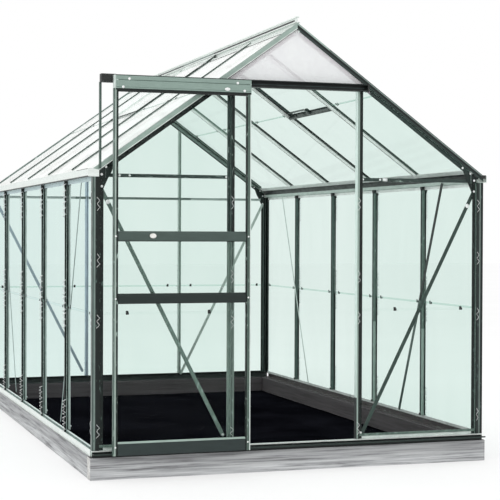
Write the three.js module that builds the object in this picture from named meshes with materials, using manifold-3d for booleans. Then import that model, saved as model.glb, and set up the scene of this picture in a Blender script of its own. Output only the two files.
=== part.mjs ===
// A walk-in aluminium greenhouse on a timber plinth, with one sliding door and two hinged roof vents.
// Millimetres, +Z up. X runs across the gables, -Y is the front (the door's gable), Z = 0 is the ground.
// Positions along a wall are given as an outline in (u, o): u runs along the wall and o points outwards,
// with o = 0 on the outermost plane of the aluminium. Roof positions are given as (s, p): s runs down the
// slope from the apex and p goes inwards, square to the slope.
import * as THREE from 'three';
import { mergeVertices } from 'three/addons/utils/BufferGeometryUtils.js';
import Module from 'manifold-3d';

const wasm = await Module();
wasm.setup();

// ---------------------------------------------------------------- driving dimensions
const FRAME_WIDTH = 1930;
const FRAME_LENGTH = 3190;
const SIDE_BAYS = 5;
const GABLE_BAYS = 3;
const EAVE_HEIGHT = 1385; // where the outer plane of the wall meets the outer plane of the roof
const APEX_HEIGHT = 2078; // where the two outer planes of the roof meet

const PLINTH_HEIGHT = 100;
const PLINTH_THICKNESS = 65;
const PLINTH_OVERHANG = 10;
const GROUND_COVER_THICKNESS = 2;

const GAP = 0.3; // between pieces that touch
const WALL = 2.5; // thickness of the heavy extrusions
const THIN = 2; // thickness of the light extrusions
const SEAT = 12; // depth of the glass seat below the outer plane
const CHANNEL_LIP = 2.5; // how far each lip of a bolt channel reaches in under it
const GLASS = 3;
const GLASS_OUT = SEAT - GAP - GLASS; // depth of the glass's outer face
const GLASS_IN = SEAT - GAP;
const BAR_DEPTH = 28;
const SPINE_HALF_WIDTH = 3;
const STEM_HALF_WIDTH = 1.25;
const SEAT_HALF_WIDTH = 12;
const CHANNEL_HALF_WIDTH = 8;
const STRIP = 14; // band of glass that joins the panes of one sheet past the ends of the bars

const POST_FACE = 32;
const POST_FLANGE = 20;
const RAFTER_FACE = 24;
const RAFTER_FLANGE = 20;

const SILL_DEPTH = 36;
const SILL_TOP = 130;
const SILL_UPSTAND = 12;
const DOOR_LIP_REACH = 38;
const DOOR_LIP_BOTTOM = 115.5;
const DOOR_LIP_HEIGHT = 6.5;

const DOORWAY_HALF = 304;
const JAMB_FACE = 16;
const JAMB_WIDTH = 32;

const GUTTER_DEPTH = 36;
const GUTTER_REACH = 20; // how far its outer wall stands out from the house
const GUTTER_INNER_WALL = 27; // how far its inner wall stands in
const GUTTER_ROLL = 4; // width of the rolled top edge
const EAVE_FLANGE = 18; // hangs under the gutter behind the wall glass
const RIDGE_FLANGE = 24;

const DOOR_WIDTH = 639;
const DOOR_BOTTOM = 112;
const DOOR_TOP = 1797;
const DOOR_BACK = 41; // distance of the door's back face in front of the gable
const DOOR_DEPTH = 20;
const DOOR_OPEN_X = -564.5; // centre of the leaf when the door stands open
const STILE = 22;
const TOP_RAIL = 73;
const BOTTOM_RAIL = 61;
const MID_RAILS = [[788, 830], [1065, 1105]];

const TRACK_LEFT = -933;
const TRACK_RIGHT = 346;
const TRACK_BOTTOM = 1768;
const TRACK_TOP = 1802;
const TRACK_DEPTH = 34;
const TRACK_LIP = 5.5; // height of the lips at the open side
const STRUT_WIDTH = 12;
const RAIL_FROM = 24; // the raised rail that the rollers run on, measured out from the gable
const RAIL_WIDTH = 3;
const RAIL_TOP = 1775.7;
const ROLLER_RUN = 8; // radius of the roller's groove
const ROLLER_RIM = 10;
const ROLLER_BORE = 3.1;
const AXLE = 3;
const ROLLER_FROM = 21;
const ROLLER_TO = 30;
const ROLLER_INSET = 60; // from the leaf's edge to the roller's axle
const DOOR_REBATE = 5; // depth of the glass recess in the leaf's back
const DOOR_REBATE_EDGE = 12; // width of the leaf's edge outside that recess
const GUIDE_HALF_LENGTH = 20;
const ROLLER_Z = RAIL_TOP + GAP + ROLLER_RUN;

const VENT_HALF_WIDTH = 313;
const VENT_TOP = 24; // s of the frame's upper edge
const VENT_END = 548; // s of the frame's lower edge
const VENT_OUT = -3.6; // p of the frame's outer face
const VENT_RAIL = 20;
const VENT_REBATE = 9;
const VENT_GLASS_OUT = 4.5;
const HINGE_X = 6.5; // the bead that the vent turns on, beside and just under the apex
const HINGE_DROP = 1.5;
const HINGE_BEAD = 3;
const STAY_LENGTH = 290;
const STAY_WIDTH = 12;
const STAY_S = 505;
const STAY_P = 20;
const PIVOT = 2.5;
const BRACKET_HALF_WIDTH = 10;
const SLAM_SEAT = 30; // width of the slam bar's glass seat
const SLAM_DEPTH = 20;
const PEG_PLACES = [60, 180]; // from the middle of the vent
const PEG = 3;

// ---------------------------------------------------------------- worked-out places
const HALF_WIDTH = FRAME_WIDTH / 2;
const HALF_LENGTH = FRAME_LENGTH / 2;
const PITCH = Math.atan2(APEX_HEIGHT - EAVE_HEIGHT, HALF_WIDTH);
const COS = Math.cos(PITCH);
const SIN = Math.sin(PITCH);
const SIDE_BAY = FRAME_LENGTH / SIDE_BAYS;
const GABLE_BAY = FRAME_WIDTH / GABLE_BAYS;
const GUTTER_TOP = EAVE_HEIGHT + 1;
const WALL_TOP = GUTTER_TOP - GUTTER_DEPTH; // the posts end at the gutter's underside
const POST_WIDTH = POST_FACE + POST_FLANGE;
const BAR_PLACES = [1, 2, 3, 4].map((bay) => -HALF_LENGTH + bay * SIDE_BAY);

// height of the plane at depth p under the outer plane of the roof, at a distance x from the middle
const roofHeight = (x, p) => APEX_HEIGHT - p / COS - Math.abs(x) * Math.tan(PITCH);

// ---------------------------------------------------------------- materials
function finish(color, roughness, metalness) {
  return new THREE.MeshStandardMaterial({ color, roughness, metalness });
}

const aluminium = finish(0x5d7469, 0.42, 0.75);
const darkAluminium = finish(0x33443d, 0.5, 0.7);
const timber = finish(0x9a9a98, 0.85, 0);
const membrane = finish(0x17181d, 0.9, 0);
const nylon = finish(0xe6e6e0, 0.5, 0);
const glassFinish = finish(0xdcece6, 0.05, 0);
glassFinish.transparent = true;
glassFinish.opacity = 0.35;

// ---------------------------------------------------------------- building blocks
const X = new THREE.Vector3(1, 0, 0);
const Y = new THREE.Vector3(0, 1, 0);
const Z = new THREE.Vector3(0, 0, 1);

function polygon(points) {
  return new THREE.Shape(points.map(([a, b]) => new THREE.Vector2(a, b)));
}

function rectangle(a0, b0, a1, b1) {
  return [[a0, b0], [a1, b0], [a1, b1], [a0, b1]];
}

function circle(a, b, radius, sides) {
  const turn = (2 * Math.PI) / sides;
  return Array.from(
    { length: sides }, (_, i) => [a + radius * Math.cos(i * turn), b + radius * Math.sin(i * turn)]);
}

// an outline, with any holes, pushed from `from` to `to` along its own third axis
function extrusion(points, from, to, holes = []) {
  const shape = polygon(points);
  shape.holes = holes.map((hole) => new THREE.Path(hole.map(([a, b]) => new THREE.Vector2(a, b))));
  const geometry = new THREE.ExtrudeGeometry(shape, { depth: to - from, bevelEnabled: false });
  return geometry.translate(0, 0, from);
}

// turns a geometry so that its own axes point along a, b and c; a mirrored set of axes also turns its faces
function oriented(geometry, a, b, c, origin = new THREE.Vector3()) {
  const bare = geometry.clone();
  bare.deleteAttribute('normal');
  bare.deleteAttribute('uv');
  const merged = mergeVertices(bare, 1e-4);
  const basis = new THREE.Matrix4().makeBasis(a, b, c).setPosition(origin);
  merged.applyMatrix4(basis);
  if (basis.determinant() < 0) {
    const index = merged.index.array;
    for (let i = 0; i < index.length; i += 3) {
      [index[i], index[i + 1]] = [index[i + 1], index[i]];
    }
  }
  return merged;
}

function solid(geometry) {
  const merged = geometry.index && !geometry.attributes.uv ? geometry : oriented(geometry, X, Y, Z);
  return new wasm.Manifold(new wasm.Mesh({
    numProp: 3,
    vertProperties: Float32Array.from(merged.attributes.position.array),
    triVerts: Uint32Array.from(merged.index.array),
  }));
}

function surface(manifold) {
  const mesh = manifold.getMesh();
  const geometry = new THREE.BufferGeometry();
  geometry.setAttribute('position', new THREE.BufferAttribute(mesh.vertProperties, 3));
  geometry.setIndex(new THREE.BufferAttribute(mesh.triVerts, 1));
  return geometry;
}

function joined(...geometries) {
  return surface(geometries.map(solid).reduce((whole, piece) => whole.add(piece)));
}

// axes of one slope: side is +1 on the right and -1 on the left
function slopeAxes(side) {
  return {
    down: new THREE.Vector3(side * COS, 0, -SIN),
    inward: new THREE.Vector3(-side * SIN, 0, -COS),
    outward: new THREE.Vector3(side * SIN, 0, COS),
    apex: new THREE.Vector3(0, 0, APEX_HEIGHT),
  };
}

const greenhouse = new THREE.Group();
greenhouse.name = 'greenhouse';

function addPart(name, geometry, material, x = 0, y = 0, z = 0) {
  const mesh = new THREE.Mesh(geometry, material);
  mesh.name = name;
  mesh.position.set(x, y, z);
  greenhouse.add(mesh);
}

// ---------------------------------------------------------------- plinth and ground cover
function addPlinth() {
  const width = FRAME_WIDTH + 2 * PLINTH_OVERHANG;
  const length = FRAME_LENGTH + 2 * PLINTH_OVERHANG;
  const endBoard = new THREE.BoxGeometry(width, PLINTH_THICKNESS, PLINTH_HEIGHT);
  const sideBoard = new THREE.BoxGeometry(
    PLINTH_THICKNESS, length - 2 * (PLINTH_THICKNESS + GAP), PLINTH_HEIGHT);
  const endY = (length - PLINTH_THICKNESS) / 2;
  const sideX = (width - PLINTH_THICKNESS) / 2;
  addPart('plinth_front', endBoard, timber, 0, -endY, PLINTH_HEIGHT / 2);
  addPart('plinth_rear', endBoard, timber, 0, endY, PLINTH_HEIGHT / 2);
  addPart('plinth_left', sideBoard, timber, -sideX, 0, PLINTH_HEIGHT / 2);
  addPart('plinth_right', sideBoard, timber, sideX, 0, PLINTH_HEIGHT / 2);
  const inset = 2 * (PLINTH_THICKNESS + 1);
  const cover = new THREE.BoxGeometry(width - inset, length - inset, GROUND_COVER_THICKNESS);
  addPart('ground_cover', cover, membrane, 0, 0, GROUND_COVER_THICKNESS / 2);
}

// ---------------------------------------------------------------- sills
const SILL_BOTTOM = PLINTH_HEIGHT + GAP;

const sillOutline = [
  [-SILL_DEPTH, SILL_BOTTOM], [0, SILL_BOTTOM], [0, SILL_TOP], [-SEAT - WALL, SILL_TOP],
  [-SEAT - WALL, SILL_TOP - WALL], [-WALL, SILL_TOP - WALL], [-WALL, SILL_BOTTOM + WALL],
  [-SILL_DEPTH, SILL_BOTTOM + WALL],
];
const upstandOutline = rectangle(-SEAT - WALL, SILL_TOP - 1, -SEAT, SILL_TOP + SILL_UPSTAND);
const doorLipOutline = [
  [-1, DOOR_LIP_BOTTOM], [DOOR_LIP_REACH, DOOR_LIP_BOTTOM],
  [DOOR_LIP_REACH, DOOR_LIP_BOTTOM + DOOR_LIP_HEIGHT],
  [DOOR_LIP_REACH - WALL, DOOR_LIP_BOTTOM + DOOR_LIP_HEIGHT],
  [DOOR_LIP_REACH - WALL, DOOR_LIP_BOTTOM + WALL],
  [-1, DOOR_LIP_BOTTOM + WALL],
];

function addSills() {
  const sideHalf = HALF_LENGTH - SILL_DEPTH - GAP;
  const sideUpstand = HALF_LENGTH - POST_WIDTH - GAP;
  const gableUpstand = HALF_WIDTH - POST_WIDTH - GAP;
  const bayStart = DOORWAY_HALF + JAMB_WIDTH + GAP;
  const sideSill = joined(
    extrusion(sillOutline, -sideHalf, sideHalf), extrusion(upstandOutline, -sideUpstand, sideUpstand));
  const rearSill = joined(
    extrusion(sillOutline, -HALF_WIDTH, HALF_WIDTH), extrusion(upstandOutline, -gableUpstand, gableUpstand));
  const frontSill = joined(
    extrusion(sillOutline, -HALF_WIDTH, HALF_WIDTH),
    extrusion(doorLipOutline, -HALF_WIDTH, HALF_WIDTH),
    extrusion(upstandOutline, -gableUpstand, -bayStart),
    extrusion(upstandOutline, bayStart, gableUpstand));
  const minusX = X.clone().negate();
  const minusY = Y.clone().negate();
  addPart('sill_right', oriented(sideSill, X, Z, Y), aluminium, HALF_WIDTH, 0, 0);
  addPart('sill_left', oriented(sideSill, minusX, Z, Y), aluminium, -HALF_WIDTH, 0, 0);
  addPart('sill_rear', oriented(rearSill, Y, Z, X), aluminium, 0, HALF_LENGTH, 0);
  addPart('sill_front', oriented(frontSill, minusY, Z, X), aluminium, 0, -HALF_LENGTH, 0);
}

// ---------------------------------------------------------------- angle section of the posts and rafters
// two equal legs, each a face on the outer plane and then a flange set back for the glass
function angleOutline(face, flange) {
  const leg = [
    [face, 0], [face, SEAT], [face + flange, SEAT], [face + flange, SEAT + WALL],
    [face - WALL, SEAT + WALL], [face - WALL, WALL],
  ];
  const otherLeg = leg.map(([a, b]) => [b, a]).reverse();
  return [[0, 0], ...leg, [WALL, WALL], ...otherLeg];
}

function addCornerPosts() {
  const post = extrusion(angleOutline(POST_FACE, POST_FLANGE), SILL_TOP + GAP, WALL_TOP - GAP);
  for (const [name, sideX, endY] of [
    ['corner_post_front_left', -1, -1], ['corner_post_front_right', 1, -1],
    ['corner_post_rear_left', -1, 1], ['corner_post_rear_right', 1, 1],
  ]) {
    const inX = new THREE.Vector3(-sideX, 0, 0);
    const inY = new THREE.Vector3(0, -endY, 0);
    addPart(name, oriented(post, inX, inY, Z), aluminium, sideX * HALF_WIDTH, endY * HALF_LENGTH, 0);
  }
}

// ---------------------------------------------------------------- glazing bars
const spineOutline = [
  [-SPINE_HALF_WIDTH, 0], [SPINE_HALF_WIDTH, 0], [SPINE_HALF_WIDTH, -3], [STEM_HALF_WIDTH, -3],
  [STEM_HALF_WIDTH, -GLASS_IN], [-STEM_HALF_WIDTH, -GLASS_IN], [-STEM_HALF_WIDTH, -3],
  [-SPINE_HALF_WIDTH, -3],
];

// right half of the seat, from its stem down to the lip of the bolt channel
const halfSeatOutline = [
  [STEM_HALF_WIDTH, -SEAT / 2], [STEM_HALF_WIDTH, -SEAT], [SEAT_HALF_WIDTH, -SEAT],
  [SEAT_HALF_WIDTH, -SEAT - THIN], [CHANNEL_HALF_WIDTH, -SEAT - THIN], [CHANNEL_HALF_WIDTH, -BAR_DEPTH],
  [CHANNEL_HALF_WIDTH - THIN - CHANNEL_LIP, -BAR_DEPTH],
  [CHANNEL_HALF_WIDTH - THIN - CHANNEL_LIP, THIN - BAR_DEPTH],
  [CHANNEL_HALF_WIDTH - THIN, THIN - BAR_DEPTH], [CHANNEL_HALF_WIDTH - THIN, -SEAT - THIN],
];

// a half outline followed by its own mirror image
function mirrored(half) {
  return [...half, ...half.map(([a, b]) => [-a, b]).reverse()];
}

const seatOutline = mirrored(halfSeatOutline);

// the spine stands between two panes; the seat, with its bolt channel, is shorter at both ends
function glazingBar(spineFrom, spineTo, seatFrom, seatTo) {
  return joined(extrusion(spineOutline, spineFrom, spineTo), extrusion(seatOutline, seatFrom, seatTo));
}

const SEAT_FLOOR = SILL_TOP + SILL_UPSTAND + GAP;
const EAVE_FLANGE_BOTTOM = WALL_TOP - EAVE_FLANGE;
const WALL_BAR_TOP = EAVE_FLANGE_BOTTOM - GAP;
const WALL_GLASS_TOP = WALL_BAR_TOP + STRIP;

function addWallBars() {
  const bar = glazingBar(SILL_TOP + GAP, WALL_BAR_TOP, SEAT_FLOOR, WALL_BAR_TOP);
  for (const [sideName, side] of [['left', -1], ['right', 1]]) {
    const geometry = oriented(bar, Y, new THREE.Vector3(side, 0, 0), Z);
    BAR_PLACES.forEach((y, i) => {
      addPart(`wall_bar_${sideName}_${i + 1}`, geometry, aluminium, side * HALF_WIDTH, y, 0);
    });
  }
}

// cuts the upper end of an upright to the underside of the roof at depth p
function slopeTop(geometry, p) {
  const position = geometry.attributes.position;
  for (let i = 0; i < position.count; i += 1) {
    if (position.getZ(i) > EAVE_HEIGHT) {
      position.setZ(i, roofHeight(position.getX(i), p));
    }
  }
  return geometry;
}

function uprightAt(geometry, x) {
  return geometry.translate(x, 0, 0);
}

function addRearPosts() {
  const x = GABLE_BAY / 2;
  const depth = RAFTER_FACE + RAFTER_FLANGE + 1; // just under the rafter
  const bar = glazingBar(SILL_TOP + GAP, APEX_HEIGHT, SEAT_FLOOR, APEX_HEIGHT);
  for (const [name, side] of [['rear_post_left', -1], ['rear_post_right', 1]]) {
    const post = slopeTop(uprightAt(oriented(bar, X, Y, Z), side * x), depth);
    addPart(name, post, aluminium, 0, HALF_LENGTH, 0);
  }
}

const jambOutline = [
  [0, 0], [JAMB_FACE, 0], [JAMB_FACE, -SEAT], [JAMB_WIDTH, -SEAT], [JAMB_WIDTH, -SEAT - WALL],
  [JAMB_FACE - WALL, -SEAT - WALL], [JAMB_FACE - WALL, -WALL], [WALL, -WALL], [WALL, THIN - BAR_DEPTH],
  [10, THIN - BAR_DEPTH], [10, -BAR_DEPTH], [0, -BAR_DEPTH],
];

function addDoorJambs() {
  const depth = RAFTER_FACE + RAFTER_FLANGE + 6; // leaves room for the turned-in lip
  const jamb = extrusion(jambOutline, SILL_TOP + GAP, APEX_HEIGHT);
  const out = Y.clone().negate();
  for (const [name, side] of [['door_jamb_left', -1], ['door_jamb_right', 1]]) {
    const turned = oriented(jamb, new THREE.Vector3(side, 0, 0), out, Z);
    const post = slopeTop(uprightAt(turned, side * DOORWAY_HALF), depth);
    addPart(name, post, aluminium, 0, -HALF_LENGTH, 0);
  }
}

// ---------------------------------------------------------------- eaves, ridge and rafters
const GUTTER_OUT = HALF_WIDTH + GUTTER_REACH;
const GUTTER_IN = HALF_WIDTH - GUTTER_INNER_WALL;
const GUTTER_SEAT_FROM = HALF_WIDTH - 60;
const GUTTER_SEAT_TO = HALF_WIDTH - 13;

function gutterOutline() {
  const roll = GUTTER_OUT - GUTTER_ROLL;
  const outer = (x) => roofHeight(x, SEAT);
  const inner = (x) => roofHeight(x, SEAT + THIN);
  return [
    [GUTTER_IN, WALL_TOP], [GUTTER_OUT, WALL_TOP], [GUTTER_OUT, GUTTER_TOP], [roll, GUTTER_TOP],
    [roll, GUTTER_TOP - THIN], [GUTTER_OUT - THIN, GUTTER_TOP - THIN], [GUTTER_OUT - THIN, WALL_TOP + THIN],
    [GUTTER_IN + THIN, WALL_TOP + THIN], [GUTTER_IN + THIN, inner(GUTTER_IN + THIN)],
    [GUTTER_SEAT_TO, inner(GUTTER_SEAT_TO)], [GUTTER_SEAT_TO, outer(GUTTER_SEAT_TO)],
    [GUTTER_SEAT_FROM, outer(GUTTER_SEAT_FROM)], [GUTTER_SEAT_FROM, inner(GUTTER_SEAT_FROM)],
    [GUTTER_IN, inner(GUTTER_IN)],
  ];
}

const FRAME_END = HALF_LENGTH - WALL - GAP; // the long bars stop behind the rafters' front plates

function addGutters() {
  const flangeHalf = HALF_LENGTH - POST_WIDTH - GAP;
  const flangeX = HALF_WIDTH - SEAT;
  const flange = rectangle(flangeX - THIN, EAVE_FLANGE_BOTTOM, flangeX, WALL_TOP + 1);
  const gutter = joined(
    extrusion(gutterOutline(), -FRAME_END, FRAME_END), extrusion(flange, -flangeHalf, flangeHalf));
  addPart('eave_gutter_right', oriented(gutter, X, Z, Y), aluminium);
  addPart('eave_gutter_left', oriented(gutter, X.clone().negate(), Z, Y), aluminium);
}

// right half of the ridge section, from the top of its crest down to its bolt channel
function ridgeHalfOutline() {
  const outer = (x) => roofHeight(x, SEAT) - APEX_HEIGHT;
  const inner = (x) => roofHeight(x, SEAT + THIN) - APEX_HEIGHT;
  return [
    [5, 31], [7, 29], [7, 24], [1.5, 24], [1.5, 4.7], [13, 4.7], [13, 0.3], [11, 0.3], [11, 2.2], [1.5, 2.2],
    [1.5, outer(1.5)], [RIDGE_FLANGE, outer(RIDGE_FLANGE)], [RIDGE_FLANGE, inner(RIDGE_FLANGE)],
    [8, inner(8)], [8, -46], [3.5, -46], [3.5, -44], [6, -44], [6, -25],
  ];
}

function addRidge() {
  const bar = extrusion(mirrored(ridgeHalfOutline()), -FRAME_END, FRAME_END);
  addPart('ridge_bar', oriented(bar, X, Z, Y), aluminium, 0, 0, APEX_HEIGHT);
}

const RAFTER_FROM = 42; // s range of the full rafter section, between the ridge and the gutter
const RAFTER_TO = (GUTTER_SEAT_FROM - GAP + SEAT * SIN) / COS;

function addRafters() {
  const angle = extrusion(angleOutline(RAFTER_FACE, RAFTER_FLANGE), RAFTER_FROM, RAFTER_TO);
  for (const [sideName, side] of [['left', -1], ['right', 1]]) {
    const { down, inward } = slopeAxes(side);
    const plateOutline = [
      [GAP, roofHeight(GAP, 0)], [HALF_WIDTH, roofHeight(HALF_WIDTH, 0)],
      [HALF_WIDTH, roofHeight(HALF_WIDTH, RAFTER_FACE)], [GAP, roofHeight(GAP, RAFTER_FACE)],
    ];
    const plate = extrusion(plateOutline, 0, WALL);
    for (const [endName, end] of [['front', -1], ['rear', 1]]) {
      const into = new THREE.Vector3(0, -end, 0);
      const sideways = new THREE.Vector3(side, 0, 0);
      const apex = new THREE.Vector3(0, 0, APEX_HEIGHT);
      const rafter = joined(oriented(plate, sideways, Z, into), oriented(angle, inward, into, down, apex));
      addPart(`rafter_${endName}_${sideName}`, rafter, aluminium, 0, end * HALF_LENGTH, 0);
    }
  }
}

const ROOF_SPINE_TO = 1149;
const ROOF_GLASS_FROM = 16;
const ROOF_GLASS_TO = ROOF_SPINE_TO + STRIP + 9; // overhangs the gutter

function addRoofBars() {
  const seatFrom = RAFTER_FROM - 1;
  const bar = glazingBar(20, ROOF_SPINE_TO, seatFrom, RAFTER_TO);
  for (const [sideName, side] of [['left', -1], ['right', 1]]) {
    const { down, outward, apex } = slopeAxes(side);
    const geometry = oriented(bar, Y, outward, down, apex);
    BAR_PLACES.forEach((y, i) => {
      addPart(`roof_bar_${sideName}_${i + 1}`, geometry, aluminium, 0, y, 0);
    });
  }
}

// ---------------------------------------------------------------- glazing
// One sheet stands for the panes of a wall or slope: slots let the bars' spines through, and a narrow band
// past the spines' ends holds the panes together.
const SLOT_HALF = SPINE_HALF_WIDTH + GAP;

// teeth run along b from `open` (slots open) towards `closed` (band)
function combOutline(a0, a1, open, closed, slotEnd, slots) {
  const points = [[a0, closed], [a0, open]];
  for (const slot of slots) {
    points.push([slot - SLOT_HALF, open], [slot - SLOT_HALF, slotEnd]);
    points.push([slot + SLOT_HALF, slotEnd], [slot + SLOT_HALF, open]);
  }
  points.push([a1, open], [a1, closed]);
  return points;
}

function addWallGlass() {
  const half = HALF_LENGTH - POST_FACE - 1;
  const outline = combOutline(-half, half, SILL_TOP + GAP, WALL_GLASS_TOP, WALL_BAR_TOP + GAP, BAR_PLACES);
  const sheet = extrusion(outline, -GLASS_IN, -GLASS_OUT);
  for (const [name, side] of [['wall_glass_left', -1], ['wall_glass_right', 1]]) {
    const out = new THREE.Vector3(side, 0, 0);
    addPart(name, oriented(sheet, Y, Z, out), glassFinish, side * HALF_WIDTH, 0, 0);
  }
}

// the sheet on one slope, with a notch at the ridge for that slope's vent
function addRoofGlass() {
  const half = HALF_LENGTH - RAFTER_FACE - 1;
  const notchHalf = SIDE_BAY / 2 - SLOT_HALF;
  const outline = combOutline(-half, half, ROOF_GLASS_FROM, ROOF_GLASS_TO, ROOF_SPINE_TO + 1, BAR_PLACES);
  const whole = extrusion(outline, GLASS_OUT, GLASS_IN);
  for (const [sideName, side, ventY] of [['left', -1, VENT_Y.left], ['right', 1, VENT_Y.right]]) {
    const { down, inward, apex } = slopeAxes(side);
    const notch = extrusion(rectangle(ventY - notchHalf, 0, ventY + notchHalf, VENT_END + 1), 0, SEAT);
    const sheet = surface(solid(whole).subtract(solid(notch)));
    addPart(`roof_glass_${sideName}`, oriented(sheet, Y, down, inward, apex), glassFinish);
  }
}

const gableGlassHalf = HALF_WIDTH - POST_FACE - 1;
const gableGlassTop = (x) => roofHeight(x, RAFTER_FACE + 0.5);

function gableGlassOutline(slots, slotTop) {
  const bottom = SILL_TOP + GAP;
  const points = [[-gableGlassHalf, gableGlassTop(gableGlassHalf)], [-gableGlassHalf, bottom]];
  for (const [from, to] of slots) {
    points.push([from, bottom], [from, slotTop(from)], [to, slotTop(to)], [to, bottom]);
  }
  points.push([gableGlassHalf, bottom], [gableGlassHalf, gableGlassTop(gableGlassHalf)]);
  points.push([0, gableGlassTop(0)]);
  return points;
}

// the lower edge of the gable's end bays starts above the gutter's end
function addGableGlass() {
  const eaveCut = rectangle(GUTTER_SEAT_FROM - 1, WALL_TOP - 1, HALF_WIDTH, APEX_HEIGHT);
  const cuts = [eaveCut, eaveCut.map(([x, z]) => [-x, z])].map((cut) => extrusion(cut, 0, 2 * SEAT));
  const ridgeCut = extrusion(rectangle(-10, APEX_HEIGHT - 50, 10, APEX_HEIGHT), 0, 2 * SEAT);
  const rearX = GABLE_BAY / 2;
  const rearSlots = [-rearX, rearX].map((x) => [x - SLOT_HALF, x + SLOT_HALF]);
  const rearDepth = RAFTER_FACE + RAFTER_FLANGE;
  const frontTop = TRACK_TOP + 1;
  const doorSide = DOORWAY_HALF + JAMB_FACE + GAP;
  const rear = gableGlassOutline(rearSlots, (x) => roofHeight(x, rearDepth));
  const front = gableGlassOutline([[-doorSide, doorSide]], () => frontTop);
  for (const [name, outline, end] of [['gable_glass_rear', rear, 1], ['gable_glass_front', front, -1]]) {
    const into = new THREE.Vector3(0, -end, 0);
    const sheet = [...cuts, ridgeCut].reduce(
      (whole, cut) => whole.subtract(solid(cut)), solid(extrusion(outline, GLASS_OUT, GLASS_IN)));
    addPart(name, oriented(surface(sheet), X, Z, into), glassFinish, 0, end * HALF_LENGTH, 0);
  }
}

// ---------------------------------------------------------------- door and its track
const trackOutline = [
  [GAP, TRACK_BOTTOM], [TRACK_DEPTH, TRACK_BOTTOM], [TRACK_DEPTH, TRACK_BOTTOM + TRACK_LIP],
  [TRACK_DEPTH - WALL, TRACK_BOTTOM + TRACK_LIP], [TRACK_DEPTH - WALL, TRACK_BOTTOM + WALL],
  [RAIL_FROM + RAIL_WIDTH, TRACK_BOTTOM + WALL], [RAIL_FROM + RAIL_WIDTH, RAIL_TOP], [RAIL_FROM, RAIL_TOP],
  [RAIL_FROM, TRACK_BOTTOM + WALL], [GAP + WALL, TRACK_BOTTOM + WALL], [GAP + WALL, TRACK_TOP - WALL],
  [TRACK_DEPTH - WALL, TRACK_TOP - WALL], [TRACK_DEPTH - WALL, TRACK_TOP - TRACK_LIP],
  [TRACK_DEPTH, TRACK_TOP - TRACK_LIP],
  [TRACK_DEPTH, TRACK_TOP], [GAP, TRACK_TOP],
];

function addDoorTrack() {
  const minusY = Y.clone().negate();
  const track = oriented(extrusion(trackOutline, TRACK_LEFT, TRACK_RIGHT), minusY, Z, X);
  addPart('door_track', track, darkAluminium, 0, -HALF_LENGTH, 0);
  const strutOutline = [
    [0, 0], [STRUT_WIDTH, 0], [STRUT_WIDTH, THIN], [THIN, THIN], [THIN, STRUT_WIDTH], [0, STRUT_WIDTH]];
  const strut = extrusion(strutOutline, EAVE_HEIGHT, TRACK_BOTTOM - GAP);
  addPart('track_strut', oriented(strut, X, minusY, Z), aluminium, TRACK_LEFT - 5, -HALF_LENGTH - GAP, 0);
}

// the roller's axle through one corner of the leaf, and the guide under it that hooks over the sill's lip
function doorFittings(x) {
  const rebate = DOOR_BACK + DOOR_REBATE;
  const axle = extrusion(circle(x, ROLLER_Z, AXLE, 16), ROLLER_FROM - 1, rebate);
  const armTop = DOOR_LIP_BOTTOM + 12;
  const armBottom = armTop - 4;
  const toeFrom = DOOR_LIP_REACH - 8;
  const toeTo = DOOR_LIP_REACH - 4;
  const toeBottom = DOOR_LIP_BOTTOM + 4;
  const guideOutline = [
    [rebate, armTop], [toeFrom, armTop], [toeFrom, toeBottom], [toeTo, toeBottom], [toeTo, armBottom],
    [rebate, armBottom],
  ];
  const guide = oriented(extrusion(guideOutline, x - GUIDE_HALF_LENGTH, x + GUIDE_HALF_LENGTH), Z, Y, X);
  return [axle, guide];
}

function rollerGeometry() {
  const groove = RAIL_WIDTH / 2 + 0.5;
  const middle = RAIL_FROM + RAIL_WIDTH / 2;
  const profile = [
    [ROLLER_BORE, ROLLER_FROM], [ROLLER_RIM, ROLLER_FROM], [ROLLER_RIM, middle - groove],
    [ROLLER_RUN, middle - groove], [ROLLER_RUN, middle + groove], [ROLLER_RIM, middle + groove],
    [ROLLER_RIM, ROLLER_TO], [ROLLER_BORE, ROLLER_TO], [ROLLER_BORE, ROLLER_FROM],
  ];
  return new THREE.LatheGeometry(profile.map(([r, o]) => new THREE.Vector2(r, o)), 32);
}

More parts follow.
